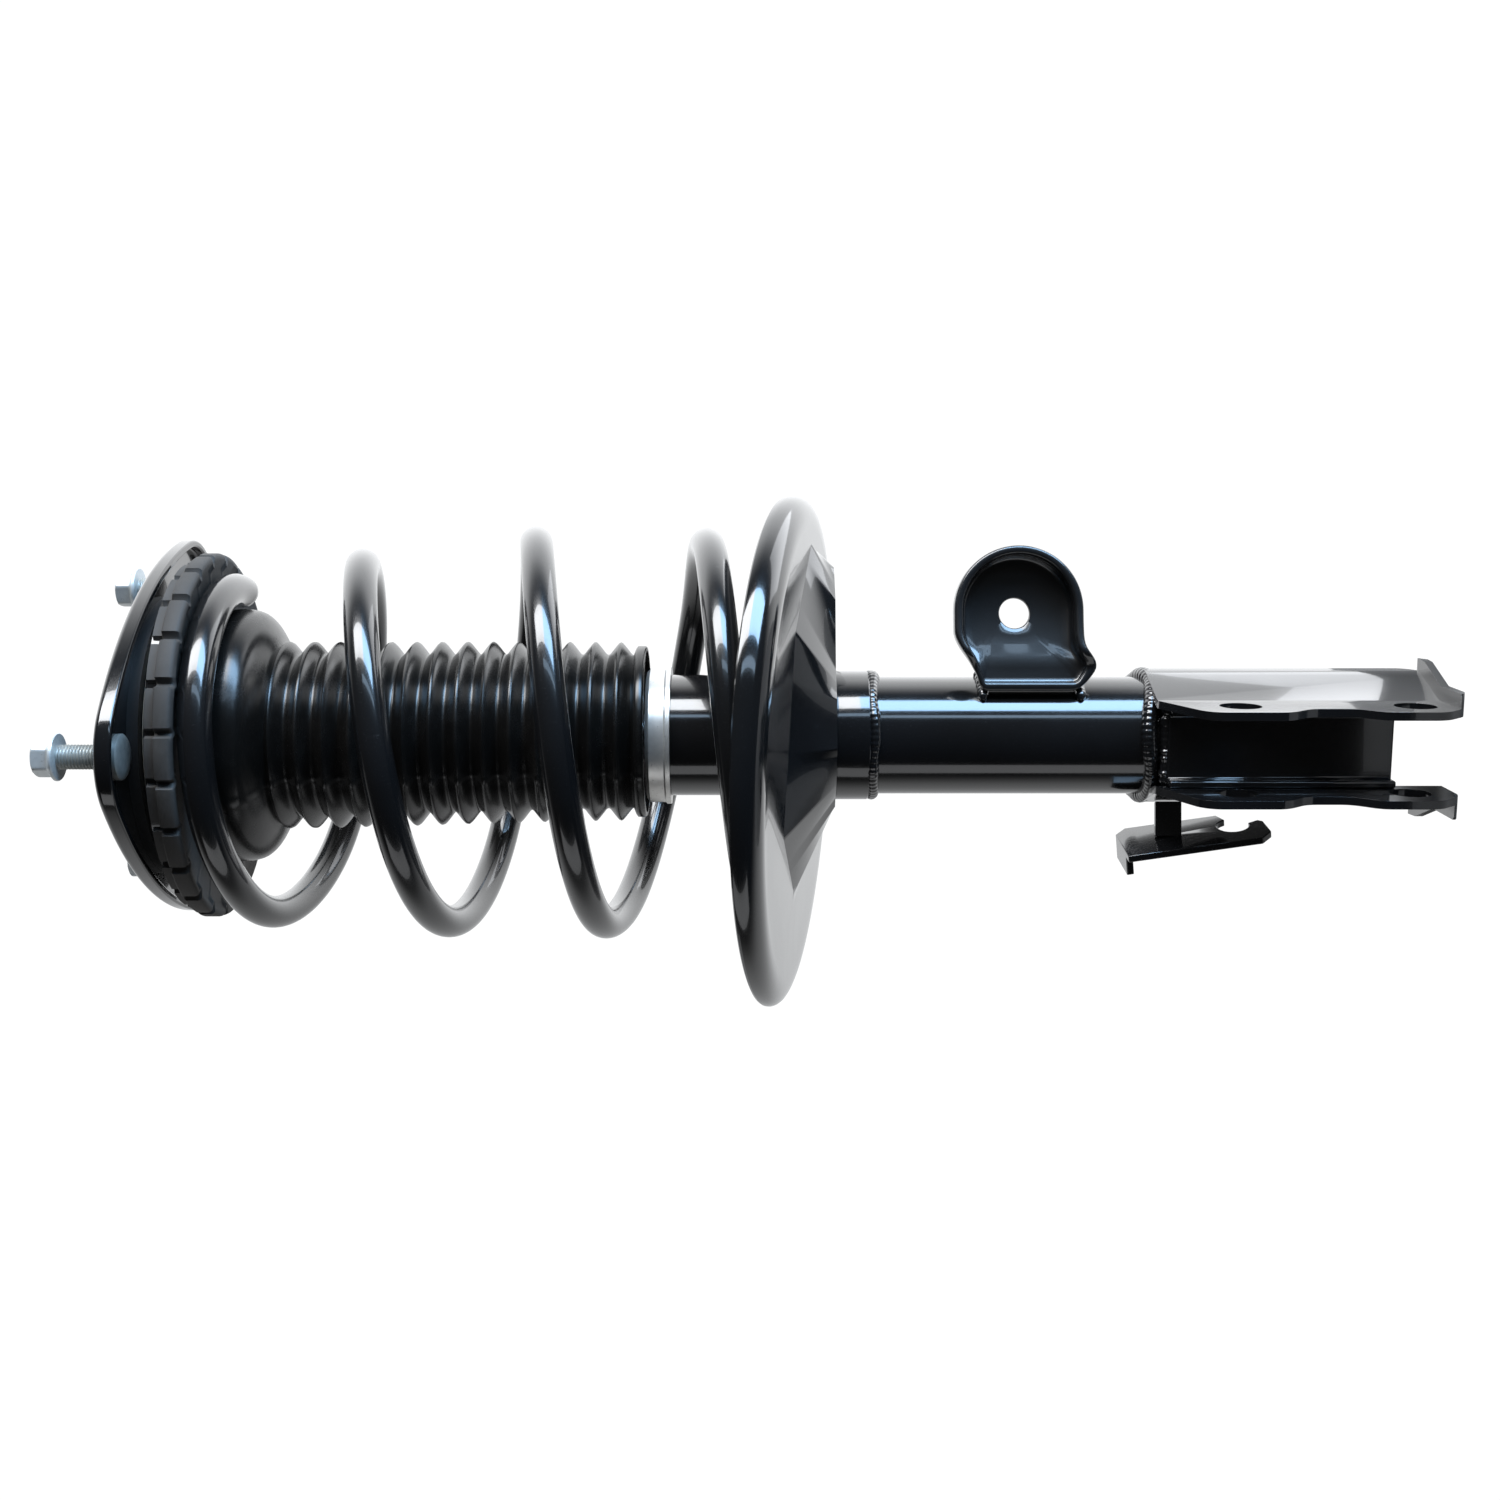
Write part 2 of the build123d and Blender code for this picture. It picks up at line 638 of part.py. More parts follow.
# ---- Lower spring seat --------------------------------------------------------------------------
dish_up = Vector(tan(radians(DISH_TIP_X)), tan(radians(DISH_TIP_Y)), 1).normalized()
dish_out = Vector(1, 0, -dish_up.X / dish_up.Z).normalized()
dish_section = Plane(origin=DISH_CENTRE, x_dir=dish_out, z_dir=dish_out.cross(dish_up))
dish_axis = Axis(DISH_CENTRE, dish_up)


def dish_level(height):
    """The plane across the dish at this height above its rim."""
    return Plane(origin=Vector(*DISH_CENTRE) + dish_up * height, x_dir=dish_out, z_dir=dish_up)


dish_profile = [
    (DISH_R, 0),
    (DISH_R, -DISH_RIM),
    (DISH_R - DISH_CORNER, DISH_FLOOR - SHEET),
    (DISH_CONE_R - 1, DISH_FLOOR - SHEET),
    (DISH_CONE_R - 1, DISH_FLOOR),
    (DISH_R - DISH_CORNER - 1.5, DISH_FLOOR),
    (DISH_R - SHEET, 1 - DISH_RIM),
    (DISH_R - SHEET, 0),
]
with BuildPart() as lower_spring_seat:
    with BuildSketch(dish_section):
        with BuildLine():
            Polyline(*dish_profile, close=True)
        make_face()
    revolve(axis=dish_axis)
    with BuildSketch(dish_level(DISH_FLOOR - SHEET)):
        Circle(DISH_CONE_R)
    extrude(amount=SHEET)
    with BuildSketch(dish_level(DISH_FLOOR - SHEET)):
        Circle(DISH_CONE_R)
    with BuildSketch(level(COLLAR_TOP - SHEET)):
        Circle(COLLAR_R + 3)
    loft(ruled=True)
    with BuildSketch(dish_level(DISH_FLOOR)):
        Circle(DISH_CONE_R - 1)
    with BuildSketch(level(COLLAR_TOP)):
        Circle(COLLAR_R + 2)
    loft(ruled=True, mode=Mode.SUBTRACT)
    with BuildSketch(level(COLLAR_TOP)):
        Circle(COLLAR_R)
    extrude(amount=COLLAR_BOTTOM - COLLAR_TOP)
    with BuildSketch(level(COLLAR_TOP)):
        Circle(TUBE_R)
    extrude(amount=COLLAR_BOTTOM - COLLAR_TOP, mode=Mode.SUBTRACT)
lower_spring_seat.part.label = "lower_spring_seat"
export_step(lower_spring_seat.part, "parts/lower_spring_seat.step")

with BuildPart() as lower_spring_pad:
    with BuildSketch(dish_level(DISH_FLOOR)):
        Circle(PAD_OUTER_R)
        Circle(PAD_INNER_R, mode=Mode.SUBTRACT)
    extrude(amount=PAD_T)
lower_spring_pad.part.label = "lower_spring_pad"
export_step(lower_spring_pad.part, "parts/lower_spring_pad.step")

# ---- Stabiliser link bracket --------------------------------------------------------------------
link_face = Plane(origin=(0, LINK_BACK_Y, LINK_Z), x_dir=(1, 0, 0), z_dir=(0, -1, 0))


def cup_outline(radius, foot):
    """A tab with a round end at the link hole and straight sides down to the tube."""
    with BuildSketch(link_face) as section:
        with Locations((LINK_X, 0)):
            Circle(radius)
        with Locations(((LINK_X + foot) / 2, 0)):
            Rectangle(LINK_X - foot, 2 * radius)
    return section.sketch


with BuildPart() as stabiliser_bracket:
    extrude(cup_outline(LINK_CUP_R, LINK_FOOT_X), amount=LINK_DEPTH)
    inner_cup = cup_outline(LINK_CUP_R - LINK_SHEET, LINK_FOOT_X - 5)
    extrude(inner_cup.moved(Location((0, -LINK_SHEET, 0))), amount=LINK_DEPTH, mode=Mode.SUBTRACT)
    with BuildSketch(level(LINK_Z - LINK_FOOT_HALF)):
        with BuildLine():
            Polyline(
                (LINK_STEP_END, LINK_BACK_Y),
                (LINK_STEP_END, LINK_BACK_Y - LINK_SHEET),
                (LINK_STEP_START, LINK_BACK_Y - LINK_SHEET - LINK_FOOT_STEP),
                (LINK_FOOT_X, LINK_BACK_Y - LINK_SHEET - LINK_FOOT_STEP),
                (LINK_FOOT_X, LINK_BACK_Y),
                close=True,
            )
        make_face()
    extrude(amount=2 * LINK_FOOT_HALF)
    with BuildSketch(link_face):
        with Locations((LINK_X, 0)):
            Circle(LINK_HOLE_R)
    extrude(amount=LINK_DEPTH, mode=Mode.SUBTRACT)
    with BuildSketch(level(LINK_Z)):
        Circle(TUBE_R)
    extrude(amount=2 * LINK_CUP_R, both=True, mode=Mode.SUBTRACT)
stabiliser_bracket.part.label = "stabiliser_bracket"
export_step(stabiliser_bracket.part, "parts/stabiliser_bracket.step")

# ---- Knuckle clevis -----------------------------------------------------------------------------
reach_dir = (-sin(radians(CLEVIS_TURN)), -cos(radians(CLEVIS_TURN)), 0)
across_dir = (cos(radians(CLEVIS_TURN)), -sin(radians(CLEVIS_TURN)), 0)


def clevis_level(z):
    """The horizontal plane at z whose x runs out along the ears and whose y runs across them."""
    return Plane(origin=(0, 0, z), x_dir=reach_dir, z_dir=(0, 0, 1))


# looks across the ears: x runs out along them and y runs up
ear_face = Plane(origin=(0, 0, 0), x_dir=reach_dir, z_dir=Vector(*reach_dir).cross(Vector(0, 0, 1)))


def tangent_point(radius, x, y):
    """Where the line from (x, y) touches the circle of this radius about the axis, on the +y side."""
    angle = atan2(y, x) + acos(radius / hypot(x, y))
    return (radius * cos(angle), radius * sin(angle))


ear_inner = EAR_OUTER - CLEVIS_SHEET
outer_touch = tangent_point(WRAP_R, EAR_BEND, EAR_OUTER)
inner_touch = tangent_point(TUBE_R, EAR_BEND, ear_inner)


def mirrored(point):
    """The same point on the other ear."""
    return (point[0], -point[1])


def silhouette_corners(sketch):
    """The sketch's corners that stand out in front of the tube."""
    return [v for v in sketch.vertices() if v.X > EAR_BEND - 1]


with BuildPart() as knuckle_bracket:
    with BuildSketch(clevis_level(CLEVIS_BOTTOM)):
        with BuildLine():
            Polyline((EAR_END, ear_inner), (EAR_END, EAR_OUTER), (EAR_BEND, EAR_OUTER), outer_touch)
            ThreePointArc(outer_touch, (-WRAP_R, 0), mirrored(outer_touch))
            Polyline(
                mirrored(outer_touch),
                (EAR_BEND, -EAR_OUTER),
                (EAR_END, -EAR_OUTER),
                (EAR_END, -ear_inner),
                (EAR_BEND, -ear_inner),
                mirrored(inner_touch),
            )
            ThreePointArc(mirrored(inner_touch), (-TUBE_R, 0), inner_touch)
            Polyline(inner_touch, (EAR_BEND, ear_inner), (EAR_END, ear_inner))
        make_face()
    extrude(amount=CLEVIS_TOP - CLEVIS_BOTTOM)
    # outward lips that stiffen the lower end
    with BuildSketch(clevis_level(CLEVIS_BOTTOM)):
        for side in (1, -1):
            with BuildLine():
                Polyline(
                    (LIP_START, side * (WRAP_R - 1)),
                    (outer_touch[0], side * (outer_touch[1] - 1)),
                    (EAR_BEND, side * (EAR_OUTER - 1)),
                    (EAR_END - LIP_HEIGHT / 2, side * (EAR_OUTER - 1)),
                    (EAR_END - 1.5 * LIP_HEIGHT, side * (EAR_OUTER + LIP_HEIGHT)),
                    (EAR_BEND + 1, side * (EAR_OUTER + LIP_HEIGHT)),
                    (outer_touch[0] + 2, side * (outer_touch[1] + LIP_HEIGHT)),
                    (LIP_START, side * (WRAP_R + LIP_HEIGHT - 1)),
                    close=True,
                )
            make_face()
    extrude(amount=CLEVIS_SHEET)
    # what is kept, seen across the ears: two eyes with a waist between them; the back of the wrap
    # stops at the tube's end
    eye_top = UPPER_BOLT_Z + EYE_R
    waist_top = UPPER_BOLT_Z - EYE_R
    waist_bottom = LOWER_BOLT_Z + EYE_R
    toe_high = CLEVIS_BOTTOM + TOE_CUT
    back_end = TUBE_BOTTOM - 2
    with BuildSketch(ear_face) as silhouette:
        with BuildLine():
            Polyline(
                (-CUT_HALF, CLEVIS_TOP),
                (EAR_BEND, CLEVIS_TOP),
                (EAR_END, eye_top),
                (EAR_END, waist_top),
                (EAR_WAIST, waist_top - EAR_SLOPE),
                (EAR_WAIST, waist_bottom + EAR_SLOPE),
                (EAR_END, waist_bottom),
                (EAR_END, toe_high),
                (EAR_END - TOE_CUT, CLEVIS_BOTTOM),
                (BACK_NOSE, CLEVIS_BOTTOM),
                (BACK_NOSE - BACK_RAMP, back_end),
                (-CUT_HALF, back_end),
                close=True,
            )
        make_face()
        fillet(silhouette_corners(silhouette), EAR_ROUND)
    extrude(amount=CUT_HALF, both=True, mode=Mode.INTERSECT)
    with BuildSketch(ear_face):
        with Locations((BOLT_REACH, UPPER_BOLT_Z), (BOLT_REACH, LOWER_BOLT_Z)):
            Circle(BOLT_HOLE_R)
    extrude(amount=CUT_HALF, both=True, mode=Mode.SUBTRACT)
knuckle_bracket.part.label = "knuckle_bracket"
export_step(knuckle_bracket.part, "parts/knuckle_bracket.step")

with BuildPart() as knuckle_web:
    with BuildSketch(clevis_level(WEB_BOTTOM)):
        with Locations(((WEB_REACH + WEB_FLANGE_END) / 2, 0)):
            Rectangle(WEB_FLANGE_END - WEB_REACH, 2 * ear_inner)
        with Locations(((WEB_REACH + WEB_FLANGE_END) / 2 + SHEET, 0)):
            Rectangle(WEB_FLANGE_END - WEB_REACH, 2 * (ear_inner - SHEET), mode=Mode.SUBTRACT)
    extrude(amount=WEB_TOP - WEB_BOTTOM)
    web_edges = knuckle_web.edges().filter_by(Axis.Z)
    near_edges = web_edges.sort_by(Axis(origin=(0, 0, 0), direction=reach_dir))[:2]
    fillet(near_edges, WEB_BEND_R)
knuckle_web.part.label = "knuckle_web"
export_step(knuckle_web.part, "parts/knuckle_web.step")

# ---- Brake hose bracket -------------------------------------------------------------------------
# a small tilted plate on a post: its x runs down along the strut, its y out towards -Y and down
tip, lean = radians(HOSE_TIP), radians(HOSE_LEAN)
hose_long = Vector(sin(lean), 0, -cos(lean))
hose_wide = Vector(-sin(tip), -cos(tip), 0)
hose_wide = (hose_wide - hose_long * hose_wide.dot(hose_long)).normalized()
hose_up = hose_long.cross(hose_wide)
hose_centre = Vector(HOSE_POST_X, HOSE_POST_Y, HOSE_POST_Z)
hose_plate = Plane(origin=hose_centre, x_dir=hose_long, z_dir=hose_up)
with BuildPart() as hose_bracket:
    with BuildSketch(hose_plate):
        with BuildLine():
            Polyline(
                (HOSE_BACK, HOSE_CORNER - HOSE_HALF),
                (HOSE_BACK, HOSE_HALF),
                (HOSE_FRONT - HOSE_CORNER, HOSE_HALF),
                (HOSE_FRONT, HOSE_HALF - HOSE_CORNER),
                (HOSE_FRONT, HOSE_NOTCH_Y),
                (HOSE_FRONT - 4, HOSE_NOTCH_Y - 4),
                (HOSE_FRONT - 9, -HOSE_HALF),
                (HOSE_BACK + HOSE_CORNER, -HOSE_HALF),
                close=True,
            )
        make_face()
        with Locations((HOSE_NOTCH_X, HOSE_NOTCH_Y)):
            Circle(HOSE_NOTCH_R, mode=Mode.SUBTRACT)
        with Locations((HOSE_NOTCH_X + 4, HOSE_NOTCH_Y - 10)):
            Rectangle(2 * HOSE_NOTCH_R, 20, rotation=-20, mode=Mode.SUBTRACT)
    extrude(amount=HOSE_SHEET)
    # a short tab turned up at the back end
    with BuildSketch(hose_plate):
        with Locations((HOSE_BACK + HOSE_SHEET / 2, 0)):
            Rectangle(HOSE_SHEET, 2 * (HOSE_HALF - HOSE_CORNER))
    extrude(amount=HOSE_TAB)
    with BuildSketch(Plane(origin=hose_centre, x_dir=(0, 0, 1), z_dir=(1, 0, 0))):
        Rectangle(HOSE_POST_W, HOSE_SHEET)
    extrude(amount=-HOSE_POST_X - TUBE_R)
    with BuildSketch(level(CLEVIS_TOP + 1)):
        Circle(WRAP_R + WRAP_GAP)
    extrude(amount=-HOSE_FRONT, mode=Mode.SUBTRACT)
hose_bracket.part.label = "hose_bracket"
export_step(hose_bracket.part, "parts/hose_bracket.step")
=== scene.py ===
"""Looks of a front suspension strut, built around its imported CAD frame.

+Z runs up the damper axis to the top mount and the clevis ears open towards -Y. The meshes are
worked out in millimetres and put into Blender in metres. Pieces that stand for a CAD node hide it;
the other CAD nodes keep their shape and get a finish.
"""

import logging
from collections.abc import Sequence
from dataclasses import dataclass, field
from enum import Enum

import bmesh
import bpy
import numpy as np
from mathutils import Matrix, Vector


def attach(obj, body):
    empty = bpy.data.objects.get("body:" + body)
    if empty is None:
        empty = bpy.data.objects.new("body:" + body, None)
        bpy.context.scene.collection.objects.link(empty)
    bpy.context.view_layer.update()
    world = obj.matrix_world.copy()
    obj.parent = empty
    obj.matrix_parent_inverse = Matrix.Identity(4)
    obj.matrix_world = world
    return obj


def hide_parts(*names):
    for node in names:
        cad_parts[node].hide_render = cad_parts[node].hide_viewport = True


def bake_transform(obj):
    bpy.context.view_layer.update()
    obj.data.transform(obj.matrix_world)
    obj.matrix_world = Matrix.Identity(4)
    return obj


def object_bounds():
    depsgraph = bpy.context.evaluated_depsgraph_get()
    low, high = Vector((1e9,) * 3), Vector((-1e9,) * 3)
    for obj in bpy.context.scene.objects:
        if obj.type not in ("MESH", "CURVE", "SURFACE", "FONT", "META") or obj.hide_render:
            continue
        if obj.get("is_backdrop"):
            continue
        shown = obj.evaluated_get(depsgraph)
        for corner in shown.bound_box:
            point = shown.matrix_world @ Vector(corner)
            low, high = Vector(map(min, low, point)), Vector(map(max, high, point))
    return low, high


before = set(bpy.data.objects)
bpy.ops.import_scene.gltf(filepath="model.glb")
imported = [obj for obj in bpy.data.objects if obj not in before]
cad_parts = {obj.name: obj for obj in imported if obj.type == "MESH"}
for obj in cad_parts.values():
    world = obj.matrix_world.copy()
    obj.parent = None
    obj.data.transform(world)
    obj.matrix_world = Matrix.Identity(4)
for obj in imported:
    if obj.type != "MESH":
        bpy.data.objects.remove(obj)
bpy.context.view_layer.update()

MM = 0.001
LOG = logging.getLogger("strut")

Array = np.ndarray
Colour = tuple[float, float, float]
Point = tuple[float, float, float]


class Body(Enum):
    """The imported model's moving bodies."""

    MOUNT = "top_mount"
    SEAT = "spring_top"
    DAMPER = "damper"


class Slot(Enum):
    """The record's material slots, one named with each new piece."""

    PAINT = "gloss_black_paint"
    SPRING = "spring_coat"
    BOOT = "boot_rubber"
    INSULATOR = "insulator_rubber"
    ZINC = "zinc_plate"
    NUT = "nut_zinc"


# ---- Shader maths --------------------------------------------------------------------------------


class Value:
    """An output socket that takes arithmetic; each sum or product adds its Math node."""

    def __init__(self, nodes: "Nodes", socket: bpy.types.NodeSocket) -> None:
        """Wraps a socket of a node tree."""
        self.nodes = nodes
        self.socket = socket

    def _math(self, operation: str, *values: object) -> "Value":
        """One Math node with these values."""
        return self.nodes.add("ShaderNodeMath", {"operation": operation}, dict(enumerate(values)))

    def __add__(self, other: object) -> "Value":
        """self + other."""
        return self._math("ADD", self, other)

    def __radd__(self, other: object) -> "Value":
        """other + self."""
        return self._math("ADD", other, self)

    def __sub__(self, other: object) -> "Value":
        """self - other."""
        return self._math("SUBTRACT", self, other)

    def __rsub__(self, other: object) -> "Value":
        """other - self."""
        return self._math("SUBTRACT", other, self)

    def __mul__(self, other: object) -> "Value":
        """self * other."""
        return self._math("MULTIPLY", self, other)

    def __rmul__(self, other: object) -> "Value":
        """other * self."""
        return self._math("MULTIPLY", other, self)

    def ramp(self, low: float, high: float, first: float = 0.0, last: float = 1.0) -> "Value":
        """A smooth step from first, at low, to last, at high."""
        settings = {"interpolation_type": "SMOOTHSTEP"}
        inputs = dict(enumerate((self, low, high, first, last)))
        return self.nodes.add("ShaderNodeMapRange", settings, inputs)


@dataclass(frozen=True)
class Grain:
    """A noise: blobs per metre, levels of finer blobs, and how strong those are."""

    scale: float
    detail: float = 3.0
    rough: float = 0.55


class Nodes:
    """A node tree that starts empty."""

    def __init__(self, tree: bpy.types.NodeTree) -> None:
        """Clears the tree and takes it over."""
        self.tree = tree
        tree.nodes.clear()

    def add(
        self,
        kind: str,
        settings: dict[str, object] | None = None,
        inputs: dict[int | str, object] | None = None,
        output: int | str = 0,
    ) -> Value:
        """Adds a node and returns one of its outputs.

        Args:
            kind: the node's type.
            settings: the node's own settings, which are set first.
            inputs: values or links for its sockets, by index or name.
            output: which output to return.

        Returns:
            The output, wrapped.
        """
        node = self.tree.nodes.new(kind)
        for key, value in (settings or {}).items():
            setattr(node, key, value)
        for key, value in (inputs or {}).items():
            self.join(node.inputs[key], value)
        return Value(self, node.outputs[output])

    def join(self, socket: bpy.types.NodeSocket, value: object) -> None:
        """Links a wrapped output to a socket, or sets the socket to a plain value."""
        if isinstance(value, Value):
            self.tree.links.new(value.socket, socket)
        else:
            socket.default_value = value

    def show(self, kind: str, surface: Value) -> None:
        """Adds the tree's output node of this kind and gives it the surface."""
        self.join(self.tree.nodes.new(kind).inputs["Surface"], surface)

    def by_ray(self, light: Value, sight: Value) -> Value:
        """The shader that sight shows to the camera and light gives to every other ray."""
        to_camera = self.add("ShaderNodeLightPath", output="Is Camera Ray")
        return self.add("ShaderNodeMixShader", inputs={0: to_camera, 1: light, 2: sight})


class Graph(Nodes):
    """The node tree of one material, with a shader of its own and its output."""

    def __init__(self, name: str) -> None:
        """Starts a material of that name."""
        self.material = bpy.data.materials.new(name)
        self.material.use_nodes = True
        super().__init__(self.material.node_tree)
        self.shader = self.tree.nodes.new("ShaderNodeBsdfPrincipled")
        self.show("ShaderNodeOutputMaterial", Value(self, self.shader.outputs[0]))

    def fix(self, **sockets: object) -> None:
        """Sets or links the shader's sockets; an underscore in a name stands for a space."""
        for name, value in sockets.items():
            self.join(self.shader.inputs[name.replace("_", " ")], value)

    def place(self, stretch: Point = (1.0, 1.0, 1.0)) -> Value:
        """Object coordinates, stretched along each axis."""
        where = self.add("ShaderNodeTexCoord", output="Object")
        inputs = {"Vector": where, "Scale": stretch}
        return self.add("ShaderNodeMapping", {"vector_type": "POINT"}, inputs)

    def noise(self, where: Value, grain: Grain) -> Value:
        """Noise from 0 to 1."""
        inputs = {
            "Vector": where, "Scale": grain.scale, "Detail": grain.detail, "Roughness": grain.rough,
        }
        return self.add("ShaderNodeTexNoise", {}, inputs)

    def cells(self, where: Value, scale: float) -> Value:
        """Distance to the nearest of scattered points, scale of them per metre."""
        inputs = {"Vector": where, "Scale": scale}
        return self.add("ShaderNodeTexVoronoi", {"feature": "F1"}, inputs)

    def blend(self, share: object, first: object, second: object) -> Value:
        """A colour from first to second, each an RGBA tuple or a link, by share."""
        settings = {"data_type": "RGBA", "blend_type": "MIX"}
        return self.add("ShaderNodeMix", settings, {0: share, 6: first, 7: second}, output=2)

    def bump(self, height: Value, depth: float, under: Value | None = None) -> Value:
        """A normal tilted by a height field.

        Args:
            height: the height field, from 0 to 1.
            depth: what a height of 1 stands for, in metres.
            under: a bump that lies under this one.

        Returns:
            The normal.
        """
        inputs: dict[int | str, object] = {"Strength": 1.0, "Distance": depth, "Height": height}
        if under is not None:
            inputs["Normal"] = under
        return self.add("ShaderNodeBump", {}, inputs)


def tone(level: float, tint: Colour = (1.0, 1.0, 1.0)) -> tuple[float, ...]:
    """An RGBA colour of that brightness and tint."""
    return (level * tint[0], level * tint[1], level * tint[2], 1.0)


@dataclass(frozen=True)
class GlossPaint:
    """Black dip paint over pressed or drawn steel, with soft waves, specks of dust and scuffs."""

    name: str
    level: float = 0.0045
    gloss: float = 0.10
    waves: Grain = Grain(42.0, 2.0, 0.4)
    wave_depth: float = 0.00016
    wave_stretch: Point = (1.0, 1.0, 1.0)
    peel: Grain = Grain(1100.0, 2.0, 0.5)
    peel_depth: float = 0.000006
    cloud: Grain = Grain(28.0, 4.0)
    cloud_level: float = 2.2
    cloud_tint: Colour = (0.9, 0.95, 1.1)
    dust: Grain = Grain(2600.0, 2.0, 0.7)
    dust_colour: tuple[float, ...] = tone(0.30, (1.0, 0.98, 0.94))
    scuffs: Grain = Grain(520.0, 5.0, 0.7)
    scuff_stretch: Point = (1.0, 1.0, 0.16)

    def build(self) -> bpy.types.Material:
        """Makes the material."""
        g = Graph(self.name)
        along = g.place(self.wave_stretch)
        at = g.place()
        cloud = g.noise(at, self.cloud)
        dust = g.noise(at, self.dust).ramp(0.66, 0.80)
        scuff = g.noise(g.place(self.scuff_stretch), self.scuffs).ramp(0.62, 0.72)
        scuff = scuff * cloud.ramp(0.45, 0.7)
        cloudy = tone(self.level * self.cloud_level, self.cloud_tint)
        colour = g.blend(cloud, tone(self.level), cloudy)
        colour = g.blend(dust * 0.10 + scuff * 0.06, colour, self.dust_colour)
        waves = g.bump(g.noise(along, self.waves), self.wave_depth)
        peel = g.bump(g.noise(at, self.peel), self.peel_depth, waves)
        g.fix(
            Base_Color=colour,
            Roughness=cloud * 0.10 + dust * 0.25 + scuff * 0.18 + self.gloss,
            Normal=peel,
            Specular_IOR_Level=0.6,
            Coat_Weight=0.8,
            Coat_Roughness=0.03,
            Coat_IOR=1.5,
        )
        return g.material


@dataclass(frozen=True)
class Rubber:
    """Moulded rubber: a fine grain, a dusty bloom and rubbed patches."""

    name: str
    level: float
    bloom: float
    roughness: float
    grain_depth: float = 0.00003
    soft_depth: float = 0.00008
    cloud: Grain = Grain(55.0, 5.0, 0.6)
    rubs: Grain = Grain(60.0, 4.0, 0.6)
    rub_stretch: Point = (1.0, 1.0, 5.0)
    grain: Grain = Grain(2400.0, 3.0, 0.6)
    soft: Grain = Grain(240.0)
    tint: Colour = (1.0, 0.93, 0.86)

    def build(self) -> bpy.types.Material:
        """Makes the material."""
        g = Graph(self.name)
        at = g.place()
        cloud = g.noise(at, self.cloud)
        rubs = g.noise(g.place(self.rub_stretch), self.rubs)
        grain = g.noise(at, self.grain)
        bloom = cloud.ramp(0.40, 0.75) * 0.6 + rubs.ramp(0.5, 0.8) * 0.4
        colour = g.blend(bloom, tone(self.level, self.tint), tone(self.bloom, self.tint))
        colour = g.blend(grain.ramp(0.62, 0.8) * 0.35, colour, tone(self.bloom * 1.8, self.tint))
        soft = g.bump(g.noise(at, self.soft), self.soft_depth)
        g.fix(
            Base_Color=colour,
            Roughness=bloom * 0.12 + grain * 0.08 + self.roughness,
            Normal=g.bump(grain, self.grain_depth, soft),
            Specular_IOR_Level=0.6,
        )
        return g.material


@dataclass(frozen=True)
class Metal:
    """Plated or bare metal: spangle in the plating, fine lines from forming, and dull spots."""

    name: str
    colour: Colour
    dull: Colour
    roughness: float
    metallic: float = 1.0
    line_depth: float = 0.00001
    lines: Grain = Grain(300.0, 4.0, 0.6)
    line_stretch: Point = (1.0, 1.0, 14.0)
    spangle: float = 380.0
    cloud: Grain = Grain(130.0, 5.0, 0.65)
    cloud_depth: float = 0.00002
    spots: Grain = Grain(700.0, 3.0, 0.7)
    spot_colour: tuple[float, ...] = tone(0.16, (1.0, 0.96, 0.88))

    def build(self) -> bpy.types.Material:
        """Makes the material."""
        g = Graph(self.name)
        at = g.place()
        spangle = g.cells(at, self.spangle).ramp(0.1, 0.9)
        cloud = g.noise(at, self.cloud)
        lines = g.noise(g.place(self.line_stretch), self.lines)
        spots = g.noise(at, self.spots).ramp(0.60, 0.72)
        colour = g.blend(spangle * 0.35 + cloud * 0.4, tone(1.0, self.colour), tone(1.0, self.dull))
        colour = g.blend(spots * 0.35, colour, self.spot_colour)
        g.fix(
            Base_Color=colour,
            Metallic=self.metallic,
            Roughness=cloud * 0.16 + lines * 0.10 + spots * 0.15 + self.roughness,
            Normal=g.bump(lines, self.line_depth, g.bump(cloud, self.cloud_depth)),
        )
        return g.material


@dataclass(frozen=True)
class Plastic:
    """Moulded plastic or foam with a fine spark-eroded grain."""

    name: str
    colour: Colour
    roughness: float
    pores: Grain = Grain(900.0, 3.0, 0.6)
    pore_depth: float = 0.00003
    cloud: Grain = Grain(90.0, 4.0)
    shade: float = 0.72

    def build(self) -> bpy.types.Material:
        """Makes the material."""
        g = Graph(self.name)
        at = g.place()
        pores = g.noise(at, self.pores)
        mottle = g.noise(at, self.cloud) * 0.6 + pores * 0.4
        colour = g.blend(mottle, tone(1.0, self.colour), tone(self.shade, self.colour))
        g.fix(
            Base_Color=colour,
            Roughness=pores * 0.2 + self.roughness,
            Normal=g.bump(pores, self.pore_depth),
        )
        return g.material


def made(finish: GlossPaint | Rubber | Metal | Plastic) -> bpy.types.Material:
    """The default of a field whose material is built together with its set."""
    return field(default_factory=finish.build)


